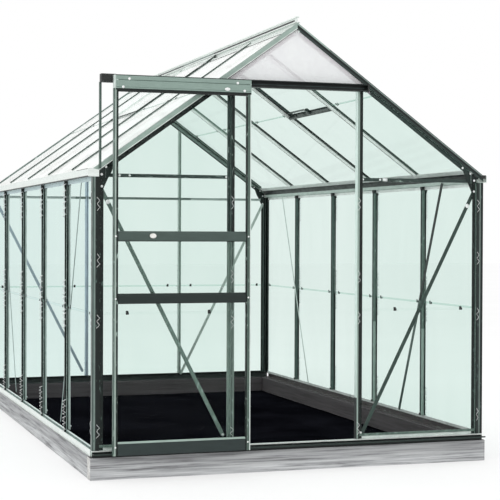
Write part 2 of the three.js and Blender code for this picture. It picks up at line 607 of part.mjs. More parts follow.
function addDoor() {
  const half = DOOR_WIDTH / 2;
  const rebate = DOOR_BACK + DOOR_REBATE;
  const edge = DOOR_REBATE_EDGE;
  const rails = [[DOOR_BOTTOM, DOOR_BOTTOM + BOTTOM_RAIL], ...MID_RAILS, [DOOR_TOP - TOP_RAIL, DOOR_TOP]];
  const leaf = rectangle(-half, DOOR_BOTTOM, half, DOOR_TOP);
  const openings = rails.slice(1).map(
    ([bottom], i) => rectangle(-half + STILE, rails[i][1], half - STILE, bottom));
  const glassBottom = DOOR_BOTTOM + BOTTOM_RAIL - edge;
  const glassTop = DOOR_TOP - TOP_RAIL + edge;
  const recess = rectangle(-half + edge, glassBottom, half - edge, glassTop);
  const rollerPlaces = [-half + ROLLER_INSET, half - ROLLER_INSET];
  const frame = joined(
    extrusion(leaf, rebate - 1, DOOR_BACK + DOOR_DEPTH, openings),
    extrusion(leaf, DOOR_BACK, rebate, [recess]),
    ...rollerPlaces.flatMap(doorFittings));
  const minusY = Y.clone().negate();
  addPart('door_frame', oriented(frame, X, Z, minusY), aluminium, DOOR_OPEN_X, -HALF_LENGTH, 0);
  const paneOutline = rectangle(-half + edge + GAP, glassBottom + GAP, half - edge - GAP, glassTop - GAP);
  const paneTo = rebate - 1 - GAP;
  const pane = extrusion(paneOutline, paneTo - GLASS, paneTo);
  addPart('door_glass', oriented(pane, X, Z, minusY), glassFinish, DOOR_OPEN_X, -HALF_LENGTH, 0);
  const roller = oriented(rollerGeometry(), X, minusY, Z);
  for (const [name, x] of [['door_roller_left', rollerPlaces[0]], ['door_roller_right', rollerPlaces[1]]]) {
    addPart(name, roller, nylon, DOOR_OPEN_X + x, -HALF_LENGTH, ROLLER_Z);
  }
}

// ---------------------------------------------------------------- roof vents
const VENT_Y = { left: 0, right: -SIDE_BAY }; // the middle bay on the left, the second bay on the right

function addVent(sideName, side) {
  const y = VENT_Y[sideName];
  const { down, inward, outward, apex } = slopeAxes(side);
  const half = VENT_HALF_WIDTH;
  const hingeS = HINGE_X * COS + HINGE_DROP * SIN;
  const hingeP = -HINGE_X * SIN + HINGE_DROP * COS;
  const ledgeOut = VENT_GLASS_OUT + GLASS + GAP;
  const ring = rectangle(-half, VENT_TOP, half, VENT_END);
  const inset = (d) => rectangle(-half + d, VENT_TOP + d, half - d, VENT_END - d);
  const rim = extrusion(ring, VENT_OUT, ledgeOut + 1, [inset(VENT_REBATE)]);
  const ledge = extrusion(ring, ledgeOut, GLASS_IN, [inset(VENT_RAIL)]);
  const neck = extrusion(rectangle(-half, hingeS, half, VENT_TOP + 2), VENT_OUT, VENT_OUT + THIN);
  const bead = oriented(extrusion(circle(hingeP, hingeS, HINGE_BEAD, 12), -half, half), Z, Y, X);
  const railEdge = VENT_END - VENT_RAIL;
  const width = BRACKET_HALF_WIDTH;
  const bracket = extrusion(rectangle(-width, STAY_S + 4, width, railEdge + 1), GLASS_IN - THIN, STAY_P + 6);
  const footOutline = rectangle(-width, railEdge - 1, width, railEdge + 4);
  const bracketFoot = extrusion(footOutline, GLASS_IN - THIN, GLASS_IN);
  const pivot = oriented(extrusion(circle(0, STAY_P, PIVOT, 16), STAY_S - 2, STAY_S + 5), X, Z, Y);
  const frame = joined(rim, ledge, neck, bead, bracket, bracketFoot, pivot);
  addPart(`vent_frame_${sideName}`, oriented(frame, Y, down, inward, apex), aluminium, 0, y, 0);
  const pane = extrusion(inset(VENT_REBATE + GAP), VENT_GLASS_OUT, VENT_GLASS_OUT + GLASS);
  addPart(`vent_glass_${sideName}`, oriented(pane, Y, down, inward, apex), glassFinish, 0, y, 0);
  addVentStay(sideName, y, side);
  addSlamBar(sideName, y, side, outward);
}

// a flat bar that turns on the vent's pivot, with holes that drop over the slam bar's pegs
function addVentStay(sideName, y, side) {
  const { down, inward, apex } = slopeAxes(side);
  const halfWidth = STAY_WIDTH / 2;
  const end = STAY_LENGTH - halfWidth;
  const arcPoints = Array.from({ length: 7 }, (_, i) => (i * Math.PI) / 6 - Math.PI / 2)
    .map((angle) => [end + halfWidth * Math.cos(angle), STAY_P + halfWidth * Math.sin(angle)]);
  const outline = [[-halfWidth, STAY_P - halfWidth], ...arcPoints, [-halfWidth, STAY_P + halfWidth]];
  const holes = [circle(0, STAY_P, PIVOT + 0.1, 16)];
  for (let hole = 1; hole <= 4; hole += 1) {
    holes.push(circle(hole * 60, STAY_P, 3.5, 12));
  }
  const stay = extrusion(outline, STAY_S, STAY_S + WALL, holes);
  const flat = oriented(stay, X, Z, Y);
  addPart(`vent_stay_${sideName}`, oriented(flat, Y, down, inward, apex), darkAluminium, 0, y, 0);
}

// crosses the bay under the vent's lower edge and carries the top of the pane below
function addSlamBar(sideName, y, side, outward) {
  const { down, apex } = slopeAxes(side);
  const half = SIDE_BAY / 2 - SEAT_HALF_WIDTH - GAP;
  const from = VENT_END - VENT_RAIL + 5;
  const foot = from + 12;
  const bottom = -SEAT - SLAM_DEPTH;
  const outline = [
    [from, -SEAT], [from + SLAM_SEAT, -SEAT], [from + SLAM_SEAT, -SEAT - THIN], [from + THIN, -SEAT - THIN],
    [from + THIN, bottom + THIN], [foot, bottom + THIN], [foot, bottom], [from, bottom],
  ];
  const bar = oriented(extrusion(outline, -half, half), Y, Z, X);
  const pegs = PEG_PLACES.map((a) => oriented(
    extrusion(circle(a, -STAY_P - 5, PEG, 12), STAY_S + 8, from + 1), X, Z, Y));
  const whole = joined(bar, ...pegs);
  addPart(`slam_bar_${sideName}`, oriented(whole, Y, down, outward, apex), darkAluminium, 0, y, 0);
}

// ---------------------------------------------------------------- assembly
addPlinth();
addSills();
addCornerPosts();
addWallBars();
addRearPosts();
addDoorJambs();
addGutters();
addRidge();
addRafters();
addRoofBars();
addWallGlass();
addRoofGlass();
addGableGlass();
addDoorTrack();
addDoor();
addVent('left', -1);
addVent('right', 1);

// the origin is the middle of the whole footprint, at ground level: the door stands proud of the front
const frontReach = HALF_LENGTH + DOOR_BACK + DOOR_DEPTH;
const rearReach = HALF_LENGTH + PLINTH_OVERHANG;
greenhouse.position.y = (frontReach - rearReach) / 2;

export default greenhouse;
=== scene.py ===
"""Looks of a walk-in aluminium greenhouse: panes, door sections, braces, clips, bolts and materials."""
import math
import random

import bmesh
import bpy
from mathutils import Matrix, Vector, noise


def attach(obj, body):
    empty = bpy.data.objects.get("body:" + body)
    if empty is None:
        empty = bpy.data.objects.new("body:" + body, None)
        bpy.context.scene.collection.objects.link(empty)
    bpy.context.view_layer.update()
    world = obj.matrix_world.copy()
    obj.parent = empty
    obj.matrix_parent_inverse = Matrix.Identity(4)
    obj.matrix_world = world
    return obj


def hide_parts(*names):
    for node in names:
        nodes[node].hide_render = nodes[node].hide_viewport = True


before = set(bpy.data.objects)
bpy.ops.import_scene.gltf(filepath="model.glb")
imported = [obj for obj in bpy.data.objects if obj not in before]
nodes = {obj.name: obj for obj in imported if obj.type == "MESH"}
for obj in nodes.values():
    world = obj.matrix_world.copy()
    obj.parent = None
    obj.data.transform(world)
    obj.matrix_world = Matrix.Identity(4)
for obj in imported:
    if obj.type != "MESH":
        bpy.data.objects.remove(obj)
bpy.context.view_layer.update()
random.seed(7)

# ---------------------------------------------------------------- sizes, in metres
SIDES = {"left": -1, "right": 1}
HALF_WIDTH = 0.965
HALF_LENGTH = 1.595
MIDDLE_Y = 0.0255  # the open door stands proud of the front, so the house's middle lies behind the origin
EAVE = 1.385  # where the outer planes of wall and roof meet
APEX = 2.078
PITCH = math.atan2(APEX - EAVE, HALF_WIDTH)
SIDE_BAY = 2 * HALF_LENGTH / 5
GABLE_BAR = HALF_WIDTH / 3  # the rear posts stand this far from the middle
SIDE_BARS = [(bar - 1.5) * SIDE_BAY for bar in range(4)]
FAR = 9.0  # further out than any part of the house

BOARD_THICKNESS = 0.065
BOARD_HEIGHT = 0.1
BOARD_LEDGE = 0.010  # how far the plinth stands out past the frame
SEAT = 0.012  # depth of the glass seat under the outer plane
GLASS = 0.003
GLASS_OUT = 0.0087  # depth of a pane's outer face where it lies on the seat
LAP_LIFT = 0.0034  # how far a lapped pane's lower edge stands out from the pane under it
LAP = 0.010
BEAD = 0.0033  # half the width of a glazing bar's bead, with its gap
POST_REBATE = 0.033  # from the house's edge in to the glass beside a corner post
RAFTER_REBATE = 0.025  # from the gable's plane in to the glass beside a rafter
INNER = -SEAT - 0.0028  # plane of the posts' inner flanges
BOLTED = INNER - 0.0028  # plane of what is bolted on behind them
BARS_BACK = -0.0283  # plane of the side bars' backs
GABLE_DEPTH = 0.0245  # depth under the roof's plane at which the gables' glass ends

SILL_TOP = 0.1303
WALL_LAP = 0.740
WALL_GLASS_TOP = 1.345
TIE_Z = 1.357
REAR_TIE_Z = 1.333
ROOF_FROM = 0.016
ROOF_LAP = 0.530
ROOF_TO = 1.172
VENT_END = 0.549
VENT_BAY = {"left": 0, "right": -1}  # bay of each slope that the vent fills, counted from the middle

DOORWAY = 0.304
JAMB_SEAT = 0.3203  # where the glass beside the door frame's jamb starts
DOOR_X = -0.5645
DOOR_HALF = 0.3195
DOOR_BOTTOM = 0.112
DOOR_TOP = 1.797
DOOR_BACK = 0.041
DOOR_FRONT = 0.061
RAIL_FRONT = 0.0602
LOWER_RAIL, UPPER_RAIL = 0.785, 1.062
AXLE_Z = 1.784
AXLE_INSET = 0.06
STILE = 0.022
TRACK_TOP = 1.802
TRACK_BOTTOM = 1.768


# ---------------------------------------------------------------- the faces of the house
def face_axes(u, v, w, origin):
    """Carries (u, v, w), with w pointing out of the house, to the row frame."""
    turn = Matrix((u, v, w)).transposed().to_4x4()
    return Matrix.Translation(origin) @ turn


COS, SIN = math.cos(PITCH), math.sin(PITCH)
X, Y, Z = Vector((1, 0, 0)), Vector((0, 1, 0)), Vector((0, 0, 1))
FACES = {
    "front": face_axes(X, Z, -Y, (0, MIDDLE_Y - HALF_LENGTH, 0)),
    "rear": face_axes(X, Z, Y, (0, MIDDLE_Y + HALF_LENGTH, 0)),
    "left": face_axes(Y, Z, -X, (-HALF_WIDTH, MIDDLE_Y, 0)),
    "right": face_axes(Y, Z, X, (HALF_WIDTH, MIDDLE_Y, 0)),
    "roof_left": face_axes(Y, Vector((-COS, 0, -SIN)), Vector((-SIN, 0, COS)), (0, MIDDLE_Y, APEX)),
    "roof_right": face_axes(Y, Vector((COS, 0, -SIN)), Vector((SIN, 0, COS)), (0, MIDDLE_Y, APEX)),
    "house": face_axes(X, Y, Z, (0, MIDDLE_Y, 0)),
}


def roof_height(x, depth):
    """Height of the plane that lies depth under the roof's outer plane."""
    return APEX - depth / COS - abs(x) * math.tan(PITCH)


# ---------------------------------------------------------------- materials
class Finish:
    """A new material, with short calls that add nodes to it. Noise is measured in metres."""

    def __init__(self, name, turn=0.0):
        self.material = bpy.data.materials.new(name)
        self.material.use_nodes = True
        self.tree = self.material.node_tree
        self.surface = self.tree.nodes["Principled BSDF"]
        self.object_place = self.add("ShaderNodeTexCoord").outputs["Object"]
        turned = self.add("ShaderNodeMapping", {"Vector": self.object_place})
        turned.inputs["Rotation"].default_value = (0, turn, 0)
        self.place = turned.outputs["Vector"]

    def add(self, kind, inputs=None, **settings):
        node = self.tree.nodes.new(kind)
        for key, value in settings.items():
            setattr(node, key, value)
        for key, value in (inputs or {}).items():
            if isinstance(value, bpy.types.NodeSocket):
                self.tree.links.new(value, node.inputs[key])
            else:
                node.inputs[key].default_value = value
        return node

    def scaled(self, stretch):
        mapping = self.add("ShaderNodeMapping", {"Vector": self.place})
        mapping.inputs["Scale"].default_value = stretch
        return mapping.outputs["Vector"]

    def noise(self, scale, stretch=(1, 1, 1), detail=3.0, roughness=0.55, distortion=0.0):
        inputs = {
            "Vector": self.scaled(stretch), "Scale": scale, "Detail": detail, "Roughness": roughness,
            "Distortion": distortion,
        }
        return self.add("ShaderNodeTexNoise", inputs).outputs["Fac"]

    def ramp(self, value, stops):
        """stops are (position, colour) pairs, with a colour as (r, g, b) or one grey number."""
        node = self.add("ShaderNodeValToRGB", {"Fac": value})
        elements = node.color_ramp.elements
        while len(elements) < len(stops):
            elements.new(0.5)
        for element, (position, colour) in zip(elements, stops):
            element.position = position
            element.color = (*colour, 1) if isinstance(colour, tuple) else (colour, colour, colour, 1)
        return node.outputs["Color"]

    def blend(self, factor, first, second, mode="MIX"):
        node = self.add("ShaderNodeMix", data_type="RGBA", blend_type=mode)
        for socket, value in ((node.inputs[0], factor), (node.inputs[6], first), (node.inputs[7], second)):
            if isinstance(value, bpy.types.NodeSocket):
                self.tree.links.new(value, socket)
            elif socket.type == "RGBA":
                socket.default_value = (*value, 1)
            else:
                socket.default_value = value
        return node.outputs[2]

    def calculate(self, operation, first, second=0.0):
        return self.add("ShaderNodeMath", {0: first, 1: second}, operation=operation).outputs[0]

    def distance(self, way):
        """x or y from the middle, forward of it, z above ground, or depth under the roof's plane."""
        turned = self.add("ShaderNodeSeparateXYZ", {"Vector": self.place}).outputs
        parts = self.add("ShaderNodeSeparateXYZ", {"Vector": self.object_place}).outputs
        if way == "depth":
            return self.calculate("SUBTRACT", APEX * COS, turned["Z"])
        if way == "z":
            return parts["Z"]
        if way == "x":
            return self.calculate("ABSOLUTE", parts["X"])
        forward = self.calculate("SUBTRACT", MIDDLE_Y, parts["Y"])
        return forward if way == "forward" else self.calculate("ABSOLUTE", forward)

    def painted(self, colour, paint, **limits):
        """Puts paint over colour wherever every distance named in limits lies between its two values."""
        inside = 1.0
        for way, (low, high) in limits.items():
            value = self.distance(way)
            inside = self.calculate("MULTIPLY", inside, self.calculate("GREATER_THAN", value, low))
            inside = self.calculate("MULTIPLY", inside, self.calculate("LESS_THAN", value, high))
        return self.blend(inside, colour, paint)

    def bump(self, height, distance, strength=1.0):
        inputs = {"Height": height, "Distance": distance, "Strength": strength}
        self.connect("Normal", self.add("ShaderNodeBump", inputs).outputs["Normal"])

    def connect(self, name, output):
        self.tree.links.new(output, self.surface.inputs[name])

    def fixed(self, **values):
        for name, value in values.items():
            self.surface.inputs[name.replace("_", " ")].default_value = value

    def mixed_with(self, through, amount):
        """Lets the rest of the light straight through, so that the surface only gets its amount."""
        shaders = {0: amount, 1: through.outputs[0], 2: self.surface.outputs[0]}
        mixed = self.add("ShaderNodeMixShader", shaders)
        output = next(node for node in self.tree.nodes if node.type == "OUTPUT_MATERIAL")
        self.tree.links.new(mixed.outputs[0], output.inputs["Surface"])
        return self.material


ALONG = {
    "x": ((0.06, 1, 1), 0.0), "y": ((1, 0.06, 1), 0.0), "z": ((1, 1, 0.06), 0.0),
    "roof_left": ((0.06, 1, 1), PITCH), "roof_right": ((0.06, 1, 1), -PITCH),
}


def zone(colour, **limits):
    """A tone for the part of a section that Finish.painted picks by the same limits."""
    return colour, limits


def aluminium(name, along, base, zones=(), speck=None, metallic=0.35, mottle=0.30, shine=0.5):
    """Weathered extrusion: drawn lines along it, faint mottling, and other tones on parts of its section;
    most of these tones are painted shade, painted highlights and the painted glare of glass in front.

    speck is the colour of the pale scuffs scattered over the whole length."""
    stretch, turn = ALONG[along]
    finish = Finish(name + "_aluminium", turn)
    soft = tuple(0.3 + 0.7 * part for part in stretch)
    clouds = finish.noise(30, soft, detail=5, roughness=0.62, distortion=0.5)
    colour = finish.blend(0.0, base, base)
    for paint, limits in zones:
        colour = finish.painted(colour, paint, **limits)
    colour = finish.blend(mottle, colour, finish.ramp(clouds, [(0.30, 0.30), (0.60, 1.0)]), "MULTIPLY")
    lines = finish.noise(420, stretch, detail=2)
    colour = finish.blend(0.28, colour, finish.ramp(lines, [(0.30, 0.4), (0.65, 1.0)]), "MULTIPLY")
    if speck:
        scuffs = finish.noise(75, soft, detail=4, roughness=0.7, distortion=0.4)
        colour = finish.blend(finish.ramp(scuffs, [(0.60, 0.0), (0.67, 0.9)]), colour, speck)
    finish.connect("Base Color", colour)
    rough = finish.noise(60, soft, detail=4)
    finish.connect("Roughness", finish.ramp(rough, [(0.35, 0.30), (0.70, 0.50)]))
    finish.bump(finish.blend(0.4, lines, clouds), 0.0005, 0.4)
    finish.fixed(Metallic=metallic, Specular_IOR_Level=shine)
    return finish.material


def glass(name, tint, smear, reflection=0.15, dusty=False):
    """Clear sheet with a tint and faint smears; glossy, or white with dust, at grazing angles."""
    finish = Finish(name)
    smears = finish.noise(5, (1, 1, 0.35), detail=5, roughness=0.6, distortion=0.8)
    colour = finish.ramp(smears, [(0.35, tint), (0.75, smear)])
    through = finish.add("ShaderNodeBsdfTransparent", {"Color": colour})
    facing = finish.add("ShaderNodeLayerWeight", {"Blend": 0.5}).outputs["Facing"]
    grazing = finish.calculate("MULTIPLY", finish.calculate("POWER", facing, 5.0), reflection)
    amount = finish.calculate("ADD", grazing, 0.0005)
    specks = finish.noise(90, detail=3)
    polish = [(0.4, 0.7), (0.8, 0.9)] if dusty else [(0.4, 0.02), (0.8, 0.09)]
    finish.connect("Roughness", finish.ramp(specks, polish))
    clean, darkened = (0.91, 0.935, 0.92), (0.78, 0.78, 0.77)
    finish.connect("Base Color", finish.ramp(smears, [(0.40, clean), (0.62, darkened)]))
    finish.fixed(Metallic=0.0 if dusty else 1.0)
    return finish.mixed_with(through, amount)


def milky(name, tint, haze, share):
    """Acrylic sheet gone cloudy: part of the light goes straight through and the rest is scattered."""
    finish = Finish(name)
    through = finish.add("ShaderNodeBsdfTransparent", {"Color": (*tint, 1)})
    clouds = finish.noise(14, detail=5, roughness=0.6, distortion=0.4)
    finish.connect("Base Color", finish.ramp(clouds, [(0.3, haze), (0.7, (0.95, 0.95, 0.955))]))
    finish.connect("Roughness", finish.ramp(clouds, [(0.3, 0.35), (0.7, 0.5)]))
    finish.bump(clouds, 0.0003, 0.3)
    return finish.mixed_with(through, finish.ramp(clouds, [(0.3, 0.95 * share), (0.7, 1.05 * share)]))


def flecked(name, scale, colours, roughness, relief, metallic=0.0, detail=4):
    """A surface whose colour, roughness and relief follow one fine noise."""
    finish = Finish(name)
    flecks = finish.noise(scale, detail=detail)
    finish.connect("Base Color", finish.ramp(flecks, colours))
    finish.connect("Roughness", finish.ramp(flecks, roughness))
    finish.bump(flecks, relief)
    finish.fixed(Metallic=metallic)
    return finish.material


def cut_edge(name, dark, light):
    """The sawn edge of a pane, much greener than its face."""
    return flecked(name, 160, [(0.35, dark), (0.7, light)], [(0.3, 0.12), (0.8, 0.4)], 0.0004)


def silver_timber(name, along, pale, grey, dark, darkened=0.3, grain=1.0):
    """Bleached softwood: growth rings that run out along the board, fine checks, dirty streaks, and a darker
    top edge that is painted shadow under the sill's lip.
    """
    stretch, _ = ALONG[along]
    finish = Finish(name)
    long_fibre = tuple(0.28 * part if part < 1 else 1 for part in stretch)
    fibre = finish.noise(190, long_fibre, detail=6, roughness=0.7)
    streak = finish.noise(84, tuple(0.55 * part if part < 1 else 1 for part in stretch), 6, 0.62, 0.25)
    rings = finish.add("ShaderNodeTexWave", {
        "Vector": finish.scaled(tuple(0.35 * part if part < 1 else 1 for part in stretch)), "Scale": 26,
        "Distortion": 5.0, "Detail": 3.0, "Detail Scale": 1.2,
    }, wave_type="RINGS", rings_direction=along.upper()).outputs["Fac"]
    colour = finish.ramp(streak, [(0.36, dark), (0.46, grey), (0.60, pale)])
    colour = finish.blend(0.30 * grain, colour, finish.ramp(rings, [(0.15, 0.45), (0.65, 1.0)]), "MULTIPLY")
    colour = finish.blend(0.45 * grain, colour, finish.ramp(fibre, [(0.32, 0.42), (0.6, 1.0)]), "MULTIPLY")
    # Darker towards the top edge, with a ragged border: painted shadow under the sill's lip.
    height = finish.add("ShaderNodeSeparateXYZ", {"Vector": finish.place}).outputs["Z"]
    lip_shadow = finish.calculate("ADD", finish.calculate("MULTIPLY", height, 10.0), finish.calculate(
        "MULTIPLY", finish.noise(6, stretch, detail=4), 0.9))
    colour = finish.blend(finish.ramp(lip_shadow, [(0.95, 0.0), (1.45, darkened)]), colour, dark)
    finish.connect("Base Color", colour)
    finish.connect("Roughness", finish.ramp(fibre, [(0.3, 0.95), (0.7, 0.72)]))
    finish.fixed(Specular_IOR_Level=0.2)
    finish.bump(finish.blend(0.5, fibre, streak), 0.0022, 0.8)
    return finish.material


def woven_membrane(name, base, worn):
    """Flat tape weave, dusty in patches."""
    finish = Finish(name)
    tapes = []
    for direction in ("X", "Y"):
        tapes.append(finish.add("ShaderNodeTexWave", {
            "Vector": finish.place, "Scale": 60, "Distortion": 0.4, "Detail": 1.0,
        }, bands_direction=direction).outputs["Fac"])
    weave = finish.calculate("MAXIMUM", *tapes)
    dust = finish.noise(2.2, detail=6, roughness=0.62, distortion=0.5)
    grit = finish.noise(240, detail=2)
    colour = finish.ramp(dust, [(0.36, base), (0.68, worn)])
    colour = finish.blend(0.45, colour, finish.ramp(weave, [(0.55, 0.45), (1.0, 1.0)]), "MULTIPLY")
    colour = finish.blend(0.25, colour, finish.ramp(grit, [(0.35, 0.4), (0.65, 1.0)]), "MULTIPLY")
    finish.connect("Base Color", colour)
    finish.connect("Roughness", finish.ramp(dust, [(0.3, 0.8), (0.7, 0.95)]))
    finish.bump(weave, 0.0012, 0.7)
    finish.fixed(Specular_IOR_Level=0.0)
    return finish.material


def moulded(name, base, worn, roughness=0.45):
    """Moulded plastic or rubber with a fine spark-eroded grain and rubbed patches."""
    finish = Finish(name)
    rub = finish.noise(70, detail=4)
    grain = finish.noise(900, detail=1)
    finish.connect("Base Color", finish.ramp(rub, [(0.42, base), (0.72, worn)]))
    finish.connect("Roughness", finish.ramp(rub, [(0.35, roughness), (0.75, roughness + 0.2)]))
    finish.bump(grain, 0.0003, 0.5)
    return finish.material


def tone(red, green, blue):
    """A screen colour, 0 to 255, as the linear colour that shaders take."""
    parts = [part / 255 for part in (red, green, blue)]
    return tuple(part / 12.92 if part < 0.04045 else ((part + 0.055) / 1.055) ** 2.4 for part in parts)


# Tones for the zones below. The near-black is painted shade: the seats behind the glass and the shadow lines
# under lips, gutters and the crest.
SHADE_BLACK = tone(14, 26, 23)
DARK = tone(48, 64, 60)
MIDDLE = tone(82, 102, 96)
GREY = tone(126, 143, 137)
PALE = tone(164, 184, 175)
# The pale, near-white and pale blue tones are mostly painted highlights and the painted glare of the glass in
# front of a part; the near-white is also the plain pale aluminium of the caps and flashing.
GLARE_PALE = tone(222, 234, 229)
BARE_METAL_HIGHLIGHT = tone(242, 249, 245)
GLARE_BLUE = tone(205, 220, 222)
# The lilac is the painted haze of the milky acrylic sheet over the rafters behind it.
LILAC = tone(150, 143, 151)
WHITE = tone(250, 255, 252)

BEHIND_GLASS = HALF_WIDTH - 0.0127  # x of the seats' faces
BAR_BACK = HALF_WIDTH - 0.0272
FRONT_PLANE = HALF_LENGTH - 0.004

# Wall bars: the left ones are the lit copy and the right ones the shaded copy, as painted light; the seats
# behind the glass and the right bars' backs are painted shade, and the inner part of the left bars is painted
# glare. The first two right bars are paler, and pale on the lower part of the channel.
WALL_BAR = {
    "left": aluminium("left_bar", "z", tone(166, 182, 175), [
        zone(SHADE_BLACK, x=(HALF_WIDTH - 0.0170, FAR)),
        zone(GLARE_PALE, x=(0.0, HALF_WIDTH - 0.0245))], GREY, metallic=0.0, shine=0.1),
    "right": aluminium("right_bar", "z", MIDDLE, [
        zone(SHADE_BLACK, x=(BEHIND_GLASS, FAR)), zone(DARK, x=(0.0, BAR_BACK))], GREY),
    "paler": aluminium("paler_bar", "z", tone(104, 124, 116), [
        zone(SHADE_BLACK, x=(BEHIND_GLASS, FAR)), zone(DARK, x=(0.0, BAR_BACK)),
        zone(PALE, x=(BAR_BACK, BEHIND_GLASS), z=(0.0, 0.60))], PALE),
}
# Rear posts, seen through the house: their pale tones are the painted glare of the glass in front; on the
# right one the seat behind the glass is painted shade.
REAR_POST = {
    "left": aluminium("left_rear_post", "z", tone(205, 222, 232)),
    "right": aluminium("right_rear_post", "z", tone(212, 224, 218), [
        zone(DARK, y=(HALF_LENGTH - 0.0127, FAR)), zone(PALE, y=(0.0, HALF_LENGTH - 0.0265))], GLARE_PALE),
}
# Roof bars: the left ones are near-white, the painted glare of the dusty glass over them, with a grey bead
# above the glass; the right ones are near-black, painted shade, with a white band deep under the glass that
# is a painted sheen. The first right bar is paler, and the fourth is pale on the half towards the ridge.
ROOF_BAR = {
    "left": aluminium("left_roof_bar", "roof_left", WHITE, [
        zone(tone(84, 98, 92), depth=(-0.01, 0.0035))], metallic=0.0, mottle=0.15, shine=0.0),
    "right": aluminium("right_roof_bar", "roof_right", tone(24, 36, 33), [
        zone(WHITE, depth=(0.0150, 0.06))]),
    "paler": aluminium("paler_roof_bar", "roof_right", tone(104, 122, 114), [
        zone(DARK, depth=(0.0125, 0.0150)), zone(WHITE, depth=(0.0150, 0.06))]),
    "half_pale": aluminium("half_pale_roof_bar", "roof_right", tone(24, 36, 33), [
        zone(PALE, x=(0.0, 0.487)), zone(WHITE, depth=(0.0150, 0.06))]),
}
# Door frame jambs: the dark and near-black strips by the glass seats are painted shade; the right jamb's
# strip by the doorway is near-white, the painted glare of the glass beside it, and dark at its foot, painted
# to match the shaded bed behind it.
JAMB = {
    "left": aluminium("left_jamb", "z", tone(118, 136, 128), [
        zone(DARK, x=(0.3120, 0.3165)), zone(DARK, x=(0.3165, 0.34), z=(1.06, 1.9)),
        zone(SHADE_BLACK, x=(0.3045, 0.3165), z=(1.06, 1.9))], PALE),
    "right": aluminium("right_jamb", "z", tone(150, 170, 161), [
        zone(tone(234, 253, 246), x=(0.0, 0.3050)), zone(tone(78, 82, 82), x=(0.0, 0.3050), z=(0.0, 0.325)),
        zone(SHADE_BLACK, x=(0.3155, 0.34)), zone(SHADE_BLACK, x=(0.3125, 0.3155), z=(0.0, 0.9))], mottle=0.1),
}
# Corner posts: the pale blue flange behind the front glass is the painted glare of that glass, the grey and
# middle stripes are painted highlights along edges, and the near-black seats are painted shade; the right
# posts, darker overall, are the shaded copy.
CORNER = {
    "left": aluminium("left_corner", "z", tone(68, 87, 81), [
        zone(GLARE_BLUE, y=(0.0, HALF_LENGTH - 0.0325)),
        zone(GREY, x=(HALF_WIDTH - 0.0135, HALF_WIDTH - 0.0055), y=(FRONT_PLANE, FAR)),
        zone(SHADE_BLACK, x=(0.0, HALF_WIDTH - 0.0135), y=(HALF_LENGTH - 0.0150, FAR))], MIDDLE),
    "right": aluminium("right_corner", "z", tone(34, 45, 42), [
        zone(SHADE_BLACK, x=(HALF_WIDTH - 0.0130, FAR)),
        zone(GREY, x=(HALF_WIDTH - 0.0185, HALF_WIDTH - 0.0130), y=(FRONT_PLANE, FAR)),
        zone(MIDDLE, x=(HALF_WIDTH - 0.0380, HALF_WIDTH - 0.0325), y=(HALF_LENGTH - 0.0150, FAR)),
        zone(SHADE_BLACK, x=(0.0, HALF_WIDTH - 0.0380), y=(HALF_LENGTH - 0.0150, FAR))], MIDDLE),
}
# Front rafters: the pale bands and the near-white line on the front faces are painted highlights, the
# near-black bands are painted shade, and the lilac deep parts near the apex are the painted haze of the
# acrylic sheet in front.
RAFTER = {
    "left": aluminium("left_rafter", "roof_left", tone(120, 136, 128), [
        zone(BARE_METAL_HIGHLIGHT, depth=(0.0195, 0.0225), y=(FRONT_PLANE, FAR)),
        zone(PALE, depth=(0.0, 0.0195), y=(FRONT_PLANE, FAR)),
        zone(SHADE_BLACK, depth=(0.0225, 0.06), y=(0.0, FAR)),
        zone(LILAC, depth=(0.0265, 0.06), x=(0.0, 0.37))]),
    "right": aluminium("right_rafter", "roof_right", DARK, [
        zone(SHADE_BLACK, depth=(-0.01, 0.0025)), zone(GREY, depth=(0.0025, 0.0075), y=(FRONT_PLANE, FAR)),
        zone(PALE, depth=(-0.01, 0.0075), x=(0.0, 0.16)), zone(SHADE_BLACK, depth=(0.0075, 0.0180)),
        zone(LILAC, depth=(0.0300, 0.06), x=(0.0, 0.37))]),
}
# Rear rafters, seen through the house: pale tones that paint the glare of the glass in front, with darker
# bands of painted shade.
REAR_RAFTER = {
    "left": aluminium("left_rear_rafter", "roof_left", tone(168, 184, 177), [
        zone(GREY, depth=(-0.01, 0.010)), zone(MIDDLE, depth=(0.034, 0.06))], GLARE_PALE),
    "right": aluminium("right_rear_rafter", "roof_right", tone(140, 158, 150), [
        zone(DARK, depth=(-0.01, 0.0125)), zone(DARK, depth=(0.036, 0.06))], DARK),
}
RIDGE_SHADOW_LINE = (APEX + 0.0095, APEX + 0.0185)  # a painted shadow line under the crest
# The ridge is near-white, a painted highlight on its crest, with the shadow line under the crest painted in
# tones from grey to near-black along its length.
RIDGE = aluminium("ridge", "y", BARE_METAL_HIGHLIGHT, [
    zone(GREY, z=RIDGE_SHADOW_LINE, forward=(-0.34, 0.27)), zone(DARK, z=RIDGE_SHADOW_LINE, forward=(-1.7, -0.34)),
    zone(SHADE_BLACK, z=RIDGE_SHADOW_LINE, forward=(0.27, 1.56))], mottle=0.1)
